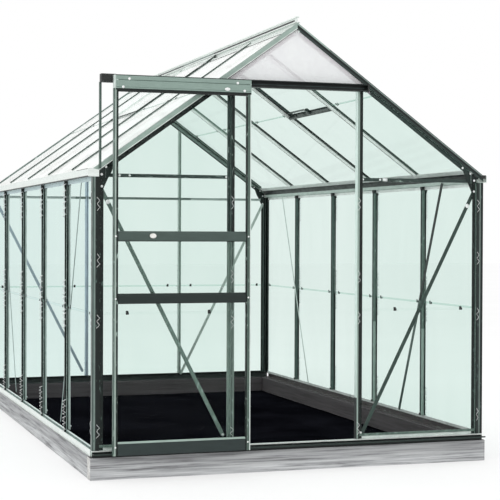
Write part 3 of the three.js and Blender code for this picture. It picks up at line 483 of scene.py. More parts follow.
# Gutters: the left one is near-white, the lit copy, as painted light, with the painted glare of the wall
# glass on its lower part and near-black painted shadow lines under its edge and near its rear; the right one
# is near-white, painted glare, with a pale band and a near-black band of painted shade, and its outer lip is
# a near-white painted highlight.
GUTTER = {
    "left": aluminium("left_gutter", "y", tone(232, 240, 236), [
        zone(GLARE_BLUE, z=(1.30, 1.3510)), zone(SHADE_BLACK, z=(1.3485, 1.3540), x=(HALF_WIDTH + 0.001, FAR)),
        zone(SHADE_BLACK, z=(1.3835, 1.40), y=(HALF_LENGTH - 0.26, FAR))], mottle=0.08),
    "right": aluminium("right_gutter", "y", WHITE, [
        zone(tone(196, 211, 204), z=(1.3470, 1.3665)), zone(SHADE_BLACK, z=(1.3665, 1.3945)),
        zone(BARE_METAL_HIGHLIGHT, x=(HALF_WIDTH + 0.002, FAR))]),
}
# Sills: the left and front sills are near-white, lit, as painted light, and the left one has a middle-toned
# inner line; below its lip the front sill is near-black, painted shadow, and dark on the lip's outer foot;
# the right sill is near-white, painted glare, with a near-black line of painted shade and a foot painted like
# the shaded board beside it; the rear sill's upper band is painted shade.
SILL = {
    "left": aluminium("left_sill", "y", BARE_METAL_HIGHLIGHT, [
        zone(MIDDLE, z=(0.1285, 0.135), x=(0.0, HALF_WIDTH - 0.0030))], mottle=0.12),
    "right": aluminium("right_sill", "y", WHITE, [
        zone(tone(96, 90, 91), z=(0.0, 0.1225)), zone(SHADE_BLACK, z=(0.1225, 0.1250))], PALE),
    "rear": aluminium("rear_sill", "x", tone(62, 70, 68), [
        zone(SHADE_BLACK, z=(0.128, 0.145))]),
    "front": aluminium("front_sill", "x", BARE_METAL_HIGHLIGHT, [
        zone(SHADE_BLACK, z=(0.0, 0.1245)), zone(DARK, z=(0.0, 0.1190), y=(HALF_LENGTH + 0.037, FAR))]),
}
# Door rails: the upper rail lighter and the lower and bottom rails darker, as painted light and shade; the
# top rail's dark and middle lines, at its top edge, its notch and across its face, are painted shade, its
# near-black foot is painted shadow, and the bottom rail's pale top edge is a painted highlight.
RAIL = {
    "top": aluminium("top_rail", "x", tone(142, 163, 154), [
        zone(DARK, z=(1.7950, 1.80)), zone(MIDDLE, z=(1.7745, 1.7768)), zone(MIDDLE, z=(1.7440, 1.7455)),
        zone(SHADE_BLACK, z=(1.70, 1.7385))], mottle=0.10),
    "upper": aluminium("upper_rail", "x", tone(72, 88, 83), mottle=0.15),
    "lower": aluminium("lower_rail", "x", tone(30, 42, 40), mottle=0.15),
    "bottom": aluminium("bottom_rail", "x", tone(42, 54, 53), [zone(PALE, z=(0.1655, 0.18))], mottle=0.15),
}
LEFT_EDGE, RIGHT_EDGE = DOOR_HALF - DOOR_X, -DOOR_X - DOOR_HALF
# Stiles: the pale line in the left stile's groove is a painted highlight, the near-black inner parts are
# painted shade, and the pale top of the left stile and the strip along the right one's outer edge are painted
# glare.
STILE_FINISH = {
    "left": aluminium("left_stile", "z", tone(96, 116, 108), [
        zone(tone(184, 200, 192), x=(LEFT_EDGE - 0.0115, LEFT_EDGE - 0.0065)),
        zone(SHADE_BLACK, x=(0.0, LEFT_EDGE - 0.0135)), zone(GLARE_PALE, z=(1.7385, 1.80))], PALE),
    "right": aluminium("right_stile", "z", tone(88, 108, 99), [
        zone(SHADE_BLACK, x=(RIGHT_EDGE + 0.0165, FAR)), zone(GLARE_PALE, x=(0.0, RIGHT_EDGE + 0.0045))], PALE),
}
STRUT = aluminium("strut", "z", tone(92, 112, 104))
# Braces: one strap each, in tones that paint how it is lit: pale where seen through the glare of the glass,
# darker where shaded; the right wall's front brace is near-black, painted shade, lighter towards its foot.
BRACE = {
    "front_left": aluminium("front_left_brace", "z", tone(104, 124, 116), [], PALE),
    "front_right": aluminium("front_right_brace", "z", tone(56, 74, 68), mottle=0.45),
    "rear_left": aluminium("rear_left_brace", "z", tone(168, 186, 194)),
    "rear_right": aluminium("rear_right_brace", "z", tone(186, 200, 193)),
    "left_wall_front": aluminium("left_brace", "z", tone(150, 166, 162)),
    "right_wall_front": aluminium("right_brace", "z", SHADE_BLACK, [zone(MIDDLE, z=(0.0, 0.75))]),
    "right_wall_rear": aluminium("pale_brace", "z", tone(214, 228, 222)),
}
BRACE["left_wall_rear"] = BRACE["left_wall_front"]
PLATE = aluminium("plate", "z", tone(30, 42, 39), mottle=0.35)
# Ties: the front ones dark and the rear one pale, shaded and lit copies as painted light; the rear one's pale
# tone also paints the glare of the glass in front of it.
TIE = {
    "left": aluminium("left_tie", "x", DARK, [], GREY),
    "right": aluminium("right_tie", "x", tone(52, 66, 62), [], PALE),
    "rear": aluminium("rear_tie", "x", tone(186, 200, 196), [zone(GREY, x=(0.0, 0.40))], GREY),
}
# The pale line along the track's middle is a painted highlight.
TRACK = aluminium("track", "x", tone(22, 30, 29), [
    zone(tone(62, 80, 80), z=(1.7835, 1.7865))], mottle=0.15)
# Vent frames: the left one is near-white, the painted glare of the dusty glass round it, with its front end
# near-black and its rear end grey as painted shade; the right one is dark, the shaded copy.
VENT = {
    "left": aluminium("left_vent", "y", BARE_METAL_HIGHLIGHT, [
        zone(SHADE_BLACK, forward=(0.3060, 0.4)), zone(GREY, forward=(-0.4, -0.3060))], PALE),
    "right": aluminium("right_vent", "y", DARK, [], GREY),
}
CAP_METAL = aluminium("cap", "x", BARE_METAL_HIGHLIGHT)

CLEAR_PANE = glass("clear_glass", (0.985, 0.993, 0.990), (0.975, 0.987, 0.983))
SIDE_PANE = glass("blue_glass", (0.972, 0.988, 0.990), (0.960, 0.980, 0.984), 0.0)
TINTED_PANE = glass("tinted_glass", (0.872, 0.933, 0.911), (0.860, 0.924, 0.901), 0.12)
DUSTY_PANE = glass("dusty_glass", (0.985, 0.993, 0.990), (0.975, 0.987, 0.983), 1.0, dusty=True)
PANES = {
    "front": CLEAR_PANE, "left": SIDE_PANE, "roof_left": DUSTY_PANE,
    "rear": TINTED_PANE, "right": TINTED_PANE, "roof_right": TINTED_PANE,
}
PANE_EDGE = cut_edge("glass_edge", tone(150, 176, 167), tone(214, 230, 223))
ACRYLIC = milky("acrylic_sheet", (0.96, 0.955, 0.962), (0.94, 0.925, 0.945), 0.55)
ACRYLIC_EDGE = cut_edge("acrylic_edge", tone(180, 176, 184), tone(215, 213, 218))
WOOD = (tone(210, 212, 213), tone(182, 184, 186), tone(132, 132, 134))
# Darker timber for the board faces in shade: painted shade.
SHADED_WOOD = (tone(92, 88, 90), tone(86, 82, 84), tone(76, 72, 74))
TIMBER = {along: silver_timber(f"timber_along_{along}", along, *WOOD) for along in ("x", "y")}
SHADED_TIMBER = {
    along: silver_timber(f"shaded_timber_along_{along}", along, *SHADED_WOOD, 0.2, 0.4) for along in ("x", "y")
}
# Sawn end grain, near-white: partly end grain paler than the faces, partly a painted highlight along the
# plinth's corners.
SAWN_END = (tone(240, 240, 238), tone(222, 222, 220), tone(190, 189, 187))
END_GRAIN = silver_timber("end_grain", "x", *SAWN_END, 0.1)
MEMBRANE = woven_membrane("woven_membrane", tone(9, 9, 13), tone(25, 25, 31))
NYLON = moulded("nylon", tone(240, 240, 236), tone(222, 222, 216))
BLACK = moulded("black_plastic", tone(16, 20, 19), tone(44, 48, 47))
RUBBER = moulded("rubber", tone(10, 16, 15), tone(34, 40, 38), 0.6)
SEAL_GREEN = moulded("green_seal", tone(78, 100, 91), tone(130, 152, 142), 0.6)
# A paler copy of the seals' rubber for the lit left roof: painted light.
LIT_RUBBER = moulded("lit_rubber", tone(66, 80, 74), tone(108, 122, 116), 0.7)
SPANGLE = [(0.35, tone(225, 229, 228)), (0.65, tone(252, 253, 253))]
ZINC = flecked("zinc_plate", 180, SPANGLE, [(0.3, 0.3), (0.7, 0.5)], 0.0003, 0.55, detail=3)


# ---------------------------------------------------------------- mesh code
ORDER = {"u": 0, "v": 1, "w": 2}


def corner(axes, a, b, c):
    place = [0.0, 0.0, 0.0]
    for axis, value in zip(axes, (a, b, c)):
        place[ORDER[axis]] = value
    return place


def prism(bm, outline, low, high, axes="uvw", side=0):
    """Adds an outline in the first two of axes, pushed from low to high along the third."""
    bottom = [bm.verts.new(corner(axes, a, b, low)) for a, b in outline]
    top = [bm.verts.new(corner(axes, a, b, high)) for a, b in outline]
    bm.faces.new(bottom)
    bm.faces.new(top)
    for i in range(len(outline)):
        j = (i + 1) % len(outline)
        bm.faces.new((bottom[i], bottom[j], top[j], top[i])).material_index = side


def rectangle(u0, v0, u1, v1):
    return [(u0, v0), (u1, v0), (u1, v1), (u0, v1)]


def block(bm, u0, v0, w0, u1, v1, w1):
    prism(bm, rectangle(u0, v0, u1, v1), w0, w1)


def round_outline(u, v, radius, sides, start=0.0):
    turn = 2 * math.pi / sides
    angles = [start + i * turn for i in range(sides)]
    return [(u + radius * math.cos(angle), v + radius * math.sin(angle)) for angle in angles]


def rings(bm, loops):
    """Joins closed loops of points, and caps the first and the last."""
    made = [[bm.verts.new(point) for point in loop] for loop in loops]
    count = len(loops[0])
    for low, high in zip(made, made[1:]):
        for i in range(count):
            j = (i + 1) % count
            bm.faces.new((low[i], low[j], high[j], high[i]))
    bm.faces.new(made[0])
    bm.faces.new(made[-1])


def bolt(bm, u, v, w, radius=0.0055, height=0.004, sides=12, stretch=1.0):
    """A domed head that stands out from depth w; a negative height stands it inwards."""
    profile = [(1.0, 0.0), (1.0, 0.35), (0.86, 0.72), (0.55, 0.94), (0.2, 1.0)]
    loops = []
    for reach, rise in profile:
        loop = round_outline(0, 0, radius * reach, sides)
        loops.append([(u + stretch * a, v + b, w + height * rise) for a, b in loop])
    rings(bm, loops)


def nut(bm, u, v, w, across=0.010, height=0.005):
    """A square-shouldered hexagonal nut with a stub of thread."""
    way = 1 if height > 0 else -1
    hexagon = round_outline(u, v, across / 2, 6, 0.3)
    chamfer = round_outline(u, v, 0.44 * across, 6, 0.3)
    rings(bm, [
        [(a, b, w) for a, b in hexagon], [(a, b, w + 0.8 * height) for a, b in hexagon],
        [(a, b, w + height) for a, b in chamfer],
    ])
    prism(bm, round_outline(u, v, 0.28 * across, 8), w + height, w + height + 0.003 * way)


def strap(bm, start, end, width, w0, w1):
    """A flat bar with round ends from one (u, v) point to another."""
    first, last = Vector(start), Vector(end)
    heading = math.atan2(*(last - first).yx)
    outline = []
    for centre, turn in ((first, heading + math.pi / 2), (last, heading - math.pi / 2)):
        for i in range(7):
            angle = turn + i * math.pi / 6
            outline.append((centre.x + width / 2 * math.cos(angle), centre.y + width / 2 * math.sin(angle)))
    prism(bm, outline, w0, w1)


def wire(bm, points, radius, sides=6):
    """A round wire bent through (u, v, w) points."""
    path = [Vector(point) for point in points]
    circle = round_outline(0, 0, radius, sides)
    loops = []
    for i, point in enumerate(path):
        ahead = (path[min(i + 1, len(path) - 1)] - path[max(i - 1, 0)]).normalized()
        across = ahead.cross(Vector((0.13, 0.17, 1))).normalized()
        up = across.cross(ahead)
        loops.append([point + a * across + b * up for a, b in circle])
    rings(bm, loops)


def add_piece(name, bm, face, slot, materials, body="frame", replaces=(), bevel=0.0, smooth=False):
    """Makes bm, drawn in a face's (u, v, w), a piece of the greenhouse."""
    bmesh.ops.transform(bm, matrix=FACES[face], verts=bm.verts)
    bmesh.ops.recalc_face_normals(bm, faces=bm.faces)
    mesh = bpy.data.meshes.new(name)
    bm.to_mesh(mesh)
    bm.free()
    for material in materials:
        mesh.materials.append(material)
    if smooth:
        mesh.shade_smooth()
    piece = bpy.data.objects.new(name, mesh)
    bpy.context.scene.collection.objects.link(piece)
    if bevel:
        modifier = piece.modifiers.new("arris", "BEVEL")
        modifier.width = bevel
        modifier.segments = 2
        modifier.limit_method = "ANGLE"
        modifier.harden_normals = False
    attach(piece, body)
    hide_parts(*replaces)
    return piece


def add_prism(name, face, slot, materials, outline, low, high, axes="uvw", side=0, **options):
    """A piece that is one prism."""
    bm = bmesh.new()
    prism(bm, outline, low, high, axes, side)
    add_piece(name, bm, face, slot, materials, **options)


# ---------------------------------------------------------------- plinth
def board_profile(radius):
    """A board's section with eased arrises, and points along each side that can wander."""
    profile = []
    half = BOARD_THICKNESS / 2
    corners = [(half, BOARD_HEIGHT, 0), (-half, BOARD_HEIGHT, 1), (-half, 0, 2), (half, 0, 3)]
    for a, b, quarter in corners:
        centre_a = a - math.copysign(radius, a)
        centre_b = b - radius if b else radius
        for step in range(4):
            angle = (quarter + step / 3) * math.pi / 2
            profile.append((centre_a + radius * math.cos(angle), centre_b + radius * math.sin(angle)))
        following = corners[(quarter + 1) % 4]
        last = profile[-1]
        reach = Vector((following[0] - a, following[1] - b))
        reach -= reach.normalized() * 2 * radius
        for step in range(1, 8):
            profile.append((last[0] + reach.x * step / 8, last[1] + reach.y * step / 8))
    return profile


def add_board(name, along, length, centre):
    """A sawn board: its faces wander a little along the grain, and its faces towards the bed, and the top of
    a front or rear board, are darker timber as painted shade.
    """
    radius, depth, steps = 0.003, 0.0006, 150
    profile = board_profile(radius)
    loops = []
    for i in range(steps + 1):
        t = length * (i / steps - 0.5)
        loop = []
        for a, b in profile:
            wander = noise.noise(Vector((t * 3.0, a * 55, b * 55))) * depth
            wander += noise.noise(Vector((t * 1.1, a * 9 + 5, b * 9))) * depth
            shrink = 1 - wander / (BOARD_THICKNESS / 2)
            point = (t, a * shrink, max(0.0, b + (wander if b > BOARD_HEIGHT / 2 else 0)))
            loop.append(point if along == "x" else (point[1], point[0], point[2]))
        loops.append([(x + centre[0], y + centre[1], z) for x, y, z in loop])
    bm = bmesh.new()
    rings(bm, loops)
    inward = -1 if (centre[0] or centre[1]) > 0 else 1
    across = 1 if along == "x" else 0
    # Faces towards the bed, and the top of a front or rear board, take the darker timber: painted shade.
    for face in bm.faces:
        face.normal_update()
        middle = face.calc_center_median()
        if len(face.verts) > 4:
            face.material_index = 2
        elif inward * (middle[across] - centre[across]) > 0.004 and middle.z > radius:
            face.material_index = 1
        elif along == "x" and middle.z > BOARD_HEIGHT - 0.0004:
            face.material_index = 1
    finishes = [TIMBER[along], SHADED_TIMBER[along], END_GRAIN]
    add_piece(name + "_board", bm, "house", "timber", finishes, replaces=[name], smooth=True)


def add_plinth():
    gap = 0.0003  # between a side board and the end boards
    end_length = 2 * (HALF_WIDTH + BOARD_LEDGE)
    side_length = 2 * (HALF_LENGTH + BOARD_LEDGE - BOARD_THICKNESS - gap)
    end_y = HALF_LENGTH + BOARD_LEDGE - BOARD_THICKNESS / 2
    side_x = HALF_WIDTH + BOARD_LEDGE - BOARD_THICKNESS / 2
    add_board("plinth_front", "x", end_length, (0, -end_y))
    add_board("plinth_rear", "x", end_length, (0, end_y))
    add_board("plinth_left", "y", side_length, (-side_x, 0))
    add_board("plinth_right", "y", side_length, (side_x, 0))


def add_ground_cover():
    """Woven sheet laid inside the plinth, with shallow ripples and slightly lifted hems."""
    width, length = 1.818, 3.078
    columns, rows = 54, 90
    bm = bmesh.new()
    grid = []
    for j in range(rows + 1):
        row = []
        for i in range(columns + 1):
            u, v = width * (i / columns - 0.5), length * (j / rows - 0.5)
            ripple = noise.noise(Vector((u * 2.2, v * 1.6, 0.3)))
            ripple += 0.5 * noise.noise(Vector((u * 7, v * 5, 4)))
            edge = min(width / 2 - abs(u), length / 2 - abs(v))
            hem = 0.003 * max(0.0, 1 - edge / 0.05)
            row.append(bm.verts.new((u, v, 0.0012 + 0.004 * max(0.0, ripple) + hem)))
        grid.append(row)
    for j in range(rows):
        for i in range(columns):
            bm.faces.new((grid[j][i], grid[j][i + 1], grid[j + 1][i + 1], grid[j + 1][i]))
    sheet = add_piece("ground_cover_sheet", bm, "house", "membrane", [MEMBRANE], replaces=["ground_cover"],
                      smooth=True)
    thickness = sheet.modifiers.new("thickness", "SOLIDIFY")
    thickness.thickness = 0.001
    thickness.offset = 0


# ---------------------------------------------------------------- glazing
def add_pane(name, face, outline, node, seat_v=0.0, lifted_v=None, acrylic=False):
    """A 3 mm pane on its seat; with lifted_v, it leans out towards that end, over the pane beside it."""
    bm = bmesh.new()
    prism(bm, outline, -GLASS_OUT - GLASS, -GLASS_OUT, side=1)
    if lifted_v is not None:
        for vert in bm.verts:
            vert.co.z += LAP_LIFT * (vert.co.y - seat_v) / (lifted_v - seat_v)
    finishes = [ACRYLIC, ACRYLIC_EDGE] if acrylic else [PANES[face], PANE_EDGE]
    add_piece(name, bm, face, "acrylic" if acrylic else "glass", finishes, replaces=[node])


def add_wall_pair(name, face, u0, u1, node):
    """The lower pane of a bay and the upper pane that laps over it."""
    lower = rectangle(u0, SILL_TOP, u1, WALL_LAP + LAP / 2)
    upper = rectangle(u0, WALL_LAP - LAP / 2, u1, WALL_GLASS_TOP)
    add_pane(f"{name}_lower", face, lower, node)
    add_pane(f"{name}_upper", face, upper, node, WALL_GLASS_TOP, WALL_LAP)


def bay_edges(end):
    """The (start, end) of the glass in each of the five side bays."""
    stops = [-end, *SIDE_BARS, end]
    edges = []
    for i in range(5):
        start = stops[i] + (BEAD if i else 0)
        edges.append((start, stops[i + 1] - (BEAD if i < 4 else 0)))
    return edges


def add_wall_panes():
    for side in SIDES:
        for bay, (u0, u1) in enumerate(bay_edges(HALF_LENGTH - POST_REBATE), 1):
            add_wall_pair(f"wall_pane_{side}_{bay}", side, u0, u1, f"wall_glass_{side}")


def add_roof_panes():
    for side in SIDES:
        face, node = f"roof_{side}", f"roof_glass_{side}"
        for bay, (u0, u1) in enumerate(bay_edges(HALF_LENGTH - RAFTER_REBATE), 1):
            is_vent = bay - 3 == VENT_BAY[side]
            start = VENT_END if is_vent else ROOF_LAP - LAP / 2
            add_pane(f"roof_pane_{side}_{bay}_lower", face, rectangle(u0, start, u1, ROOF_TO), node)
            if not is_vent:
                upper = rectangle(u0, ROOF_FROM, u1, ROOF_LAP + LAP / 2)
                add_pane(f"roof_pane_{side}_{bay}_upper", face, upper, node, ROOF_FROM, ROOF_LAP)


def slanted(u0, u1, low):
    """Outline of a gable pane from height low up to the underside of the rafters."""
    outline = [(u0, low), (u1, low), (u1, roof_height(u1, GABLE_DEPTH))]
    if u0 < 0 < u1:
        outline.append((0, roof_height(0, GABLE_DEPTH)))
    return outline + [(u0, roof_height(u0, GABLE_DEPTH))]


def add_gable_panes():
    edge = HALF_WIDTH - POST_REBATE
    eave_edge = HALF_WIDTH - 0.061  # where the top panes stop, short of the corner plates
    gap = 0.001
    bays = {
        "front": [("left", -edge, -JAMB_SEAT), ("right", JAMB_SEAT, edge)],
        "rear": [("left", -edge, -GABLE_BAR - BEAD), ("middle", BEAD - GABLE_BAR, GABLE_BAR - BEAD),
                 ("right", GABLE_BAR + BEAD, edge)],
    }
    for end, panes in bays.items():
        node = f"gable_glass_{end}"
        for bay, u0, u1 in panes:
            name = f"gable_pane_{end}_{bay}"
            add_wall_pair(name, end, u0, u1, node)
            top = slanted(max(u0, -eave_edge), min(u1, eave_edge), WALL_GLASS_TOP + gap)
            add_pane(f"{name}_top", end, top, node)
    low = TRACK_TOP + gap
    reach = (APEX - GABLE_DEPTH / COS - low) / math.tan(PITCH) - gap
    triangle = [(-reach, low), (reach, low), (0, roof_height(0, GABLE_DEPTH + gap))]
    add_pane("gable_pane_front_apex", "front", triangle, "gable_glass_front", acrylic=True)


FRONT_LAP_CLIPS = (-0.804, -0.421, 0.504, 0.851)
CLIP_OFFSET = 0.24  # of a lap clip from the middle of its bay


def add_lap_clips():
    """Small hooks that carry each upper pane on the one below."""
    wall_edge, roof_edge = (WALL_LAP - LAP / 2, 1), (ROOF_LAP + LAP / 2, -1)
    places = {"left": [], "right": [], "roof_left": [], "roof_right": [], "front": [], "rear": []}
    offsets = (-CLIP_OFFSET, CLIP_OFFSET)
    for side in SIDES:
        for bay in range(-2, 3):
            for u in [bay * SIDE_BAY + offset for offset in offsets]:
                places[side].append((u, *wall_edge))
                if bay != VENT_BAY[side]:
                    places[f"roof_{side}"].append((u, *roof_edge))
    for bay in (-1, 0, 1):
        places["rear"] += [(bay * 2 * GABLE_BAR + offset, *wall_edge) for offset in offsets]
    for u in FRONT_LAP_CLIPS:
        places["front"].append((u, *wall_edge))
    front, back = LAP_LIFT - GLASS_OUT, -GLASS_OUT - GLASS
    hook = [
        (0.010, front), (0.010, front + 0.0012), (-0.0012, front + 0.0012), (-0.0012, back - 0.0012),
        (0.016, back - 0.0012), (0.016, back - 0.0002), (-0.0002, back - 0.0002), (-0.0002, front),
    ]
    for face, spots in places.items():
        bm = bmesh.new()
        for u, v, way in spots:
            prism(bm, [(v + way * reach, w) for reach, w in hook], u - 0.006, u + 0.006, "vwu")
        add_piece(f"lap_clips_{face}", bm, face, "black_plastic", [BLACK])


# ---------------------------------------------------------------- bars: seals, spring clips, shoes
def bar_runs():
    """Every glazing bar as (face, u, from v, to v)."""
    runs = []
    for side in SIDES:
        for u in SIDE_BARS:
            runs.append((side, u, SILL_TOP + 0.002, 1.330))
            runs.append((f"roof_{side}", u, 0.045, 1.148))
    for u in (-GABLE_BAR, GABLE_BAR):
        runs.append(("rear", u, SILL_TOP + 0.002, roof_height(u, 0.048)))
    return runs


def add_seals():
    """Black strips under each bar's bead that press on the panes."""
    strips = {}
    for face, u, low, high in bar_runs():
        bm = strips.setdefault(face, bmesh.new())
        for side in (-1, 1):
            inner, middle, outer = [u + side * offset for offset in (0.0015, 0.0034, 0.0062)]
            under = LAP_LIFT - GLASS_OUT
            outline = [(inner, -0.0034), (middle, -0.0034), (outer, -0.0046), (outer, under), (inner, under)]
            prism(bm, outline, low, high, "uwv")
    for face, bm in strips.items():
        # The left roof's seals take the paler, lit copy of the rubber: painted light.
        finish = LIT_RUBBER if face == "roof_left" else RUBBER
        add_piece(f"glazing_seals_{face}", bm, face, "rubber", [finish])


WIDE_CLIP = {"strokes": 5, "height": 0.078, "reach": 0.013, "feet": -0.0034, "thickness": 0.0018}
SMALL_CLIP = {
    "strokes": 4, "height": 0.060, "reach": 0.006, "rise": 0.0020, "feet": 0.0016, "thickness": 0.0009,
}


def spring_clip(bm, u, v, strokes, height, reach, rise, feet, thickness):
    """Zigzag of spring wire: its bends press on the panes beside the bar and its strokes cross the bead."""
    points = []
    for i in range(strokes + 1):
        side = reach * (1 if i % 2 else -1) + random.uniform(-0.002, 0.002)
        points.append((u + side, v + height * (0.5 - i / strokes), feet))
        if i < strokes:
            points.append((u, v + height * (0.5 - (i + 0.5) / strokes), rise))
    wire(bm, points, thickness)


def add_spring_clips():
    """Clips along the wall bars, and small ones on the roof bars, the jambs and the corner posts."""
    clips = {}
    for face, u, _, _ in bar_runs():
        bm = clips.setdefault(face, bmesh.new())
        if face.startswith("roof"):
            for v in (0.10, 1.05):
                spring_clip(bm, u, v + random.uniform(-0.004, 0.004), **SMALL_CLIP)
            continue
        rise = 0.0021 if face == "rear" else 0.009
        for v in (0.17, 0.25, 0.675, 0.755, 0.835, 1.215, 1.295):
            spring_clip(bm, u, v + random.uniform(-0.004, 0.004), rise=rise, **WIDE_CLIP)
    front = clips.setdefault("front", bmesh.new())
    for u in (-DOORWAY - 0.010, DOORWAY + 0.010):
        for v in (0.19, 0.70, 0.90, 1.24):
            spring_clip(front, u, v + random.uniform(-0.015, 0.015), **SMALL_CLIP)
    ends = {"front": HALF_WIDTH, "rear": HALF_WIDTH, "left": HALF_LENGTH, "right": HALF_LENGTH}
    for face, end in ends.items():
        for u in (-end + 0.026, end - 0.026):
            for v in (0.22, 0.72, 0.98, 1.24):
                spring_clip(clips[face], u, v + random.uniform(-0.015, 0.015), **SMALL_CLIP)
    for face, bm in clips.items():
        add_piece(f"spring_clips_{face}", bm, face, "steel", [ZINC], smooth=True)


def add_bar_shoes():
    """Black feet that seat the side bars on the sill, and the brackets that hang them from the gutter."""
    top = 1.3494  # underside of the gutter
    face = 0.0003  # plane just off the bars' faces
    for side in SIDES:
        bm = bmesh.new()
        for u in SIDE_BARS:
            outline = [(u - 0.0105, 0.1425), (u + 0.0105, 0.1425), (u + 0.0090, 0.152), (u - 0.0090, 0.152)]
            prism(bm, outline, -0.0320, BARS_BACK)
            block(bm, u - 0.0100, 1.3360, -0.0300, u + 0.0100, 1.3480, BARS_BACK)
            bracket = [(1.3180, face), (top, face), (top, 0.0030), (1.3400, 0.0030), (1.3180, 0.0015)]
            prism(bm, bracket, u - 0.0065, u + 0.0065, "vwu")
            for cheek in (u - 0.0080, u + 0.0080):
                block(bm, cheek - 0.0030, 1.3300, -0.0280, cheek + 0.0030, top, face)
        add_piece(f"bar_shoes_{side}", bm, side, "black_plastic", [BLACK])


def add_foot_seals():
    """Green strips under the front panes."""
    bm = bmesh.new()
    for way in (-1, 1):
        near, far = sorted((way * (JAMB_SEAT + 0.001), way * (HALF_WIDTH - 0.034)))
        block(bm, near, 0.1426, -0.0085, far, 0.1545, -0.0060)
    add_piece("foot_seals_front", bm, "front", "rubber", [SEAL_GREEN])


def add_ridge_flashing():
    """A narrow plate with a dark bead along both sides of the ridge, except over the vents."""
    foot, half_vent = -0.0085, 0.322
    bead = [(0.0560, foot), (0.0590, foot), (0.0582, foot + 0.0020), (0.0568, foot + 0.0020)]
    for side in SIDES:
        vent = VENT_BAY[side] * SIDE_BAY
        plates, beads = bmesh.new(), bmesh.new()
        end = HALF_LENGTH - RAFTER_REBATE
        for u0, u1 in ((-end, vent - half_vent), (vent + half_vent, end)):
            block(plates, u0, 0.030, foot, u1, 0.0560, foot + 0.0012)
            prism(beads, bead, u0, u1, "vwu")
        add_piece(f"ridge_flashing_{side}", plates, f"roof_{side}", "aluminium", [CAP_METAL], bevel=0.0003)
        add_piece(f"flashing_bead_{side}", beads, f"roof_{side}", "rubber", [RUBBER])


# ---------------------------------------------------------------- stiffeners
PLATE_BACK = INNER - 0.0025  # plane of the corner plates' inner faces


def add_gussets():
    """Corner plates inside both gables, bolted to post and rafter."""
    outline = [
        (0.843, 1.422), (0.855, 1.432), (0.936, 1.374), (0.936, 1.294), (0.914, 1.294), (0.892, 1.343),
        (0.878, 1.366), (0.864, 1.405),
    ]
    for end in ("front", "rear"):
        for name, side in SIDES.items():
            shape = [(side * u, v) for u, v in outline]
            gusset = f"gusset_{end}_{name}"
            add_prism(gusset, end, "dark_aluminium", [PLATE], shape, PLATE_BACK, INNER, bevel=0.0005)


def add_ties():
    """Angle bars at eave height: one on each side of the doorway and one across the rear."""
    tie_end, door_end = 0.905, JAMB_SEAT + 0.002
    height, depth, wall = 0.016, 0.012, 0.002
    for name, end, u0, u1, v in (
        ("left", "front", -tie_end, -door_end, TIE_Z), ("right", "front", door_end, tie_end, TIE_Z),
        ("rear", "rear", -tie_end, tie_end, REAR_TIE_Z),
    ):
        low, high = v - height / 2, v + height / 2
        outline = [
            (low, BOLTED), (high, BOLTED), (high, BOLTED - depth), (high - wall, BOLTED - depth),
            (high - wall, BOLTED - wall), (low, BOLTED - wall),
        ]
        add_prism(f"tie_{name}", end, "aluminium", [TIE[name]], outline, u0, u1, "vwu", bevel=0.0004)


# each brace runs from its top (u, v) to its foot
GABLE_BRACES = (((-0.924, 1.300), (-0.352, 0.176)), ((0.920, 1.301), (0.333, 0.140)))
SIDE_BRACES = (((-1.205, 1.350), (-0.700, 0.150)), ((1.205, 1.350), (0.700, 0.150)))


BRACE_BACK = INNER - 0.0056


def add_braces():
    for end in ("front", "rear"):
        for side, (top, foot) in zip(SIDES, GABLE_BRACES):
            place = f"{end}_{side}"
            bm = bmesh.new()
            strap(bm, top, foot, 0.018, BRACE_BACK, INNER - 0.0030)
            add_piece(f"brace_{place}", bm, end, "aluminium", [BRACE[place]], bevel=0.0004)
    for side in SIDES:
        for end, (top, foot) in zip(("front", "rear"), SIDE_BRACES):
            place = f"{side}_wall_{end}"
            bm = bmesh.new()
            strap(bm, top, foot, 0.024 if place == "right_wall_front" else 0.012, -0.0325, -0.0302)
            add_piece(f"brace_{place}", bm, side, "dark_aluminium", [BRACE[place]], bevel=0.0004)


FOOT_BOLT_Z = 0.158


def add_bolts():
    """Bright heads at every joint of the frame, by face."""
    corner_bolts = [(0.859, 1.421), (0.902, 1.394), (0.922, 1.360), (0.921, 1.307)]
    for end in ("front", "rear"):
        bm = bmesh.new()
        for side in (-1, 1):
            for u, v in corner_bolts:
                nut(bm, side * u, v, PLATE_BACK, 0.010, -0.005)
                bolt(bm, side * u, v, -SEAT, 0.006, 0.0035)
        for top, foot in GABLE_BRACES:
            middle = (Vector(top) + Vector(foot)) / 2
            nut(bm, middle.x, middle.y, BRACE_BACK, 0.010, -0.005)
            near_top = Vector(top).lerp(Vector(foot), 0.055)
            bolt(bm, near_top.x, near_top.y, BOLTED, 0.0105, 0.003)
            bolt(bm, foot[0], foot[1], BOLTED, 0.0065, 0.004)
        tie_z = TIE_Z if end == "front" else REAR_TIE_Z
        for u in (-0.839, -0.793, -0.339, 0.339, 0.427):
            bolt(bm, u, tie_z, BOLTED, 0.0055, 0.005)
        block(bm, 0.440, tie_z - 0.0075, BOLTED, 0.464, tie_z + 0.0075, INNER + 0.0005)
        for u in (-JAMB_SEAT - 0.010, JAMB_SEAT + 0.010):
            bolt(bm, u, FOOT_BOLT_Z, -SEAT, 0.006, 0.005)
        add_piece(f"bolts_{end}", bm, end, "steel", [ZINC], smooth=True)
    post_bolt = HALF_LENGTH - 0.040
    for side in SIDES:
        bm = bmesh.new()
        for u in SIDE_BARS:
            nut(bm, u, FOOT_BOLT_Z, BARS_BACK, 0.008, -0.004)
        for u in (-post_bolt, post_bolt):
            for v in (0.150, 1.325):
                bolt(bm, u, v, -SEAT, 0.006, 0.004)
        add_piece(f"bolts_{side}", bm, side, "steel", [ZINC], smooth=True)


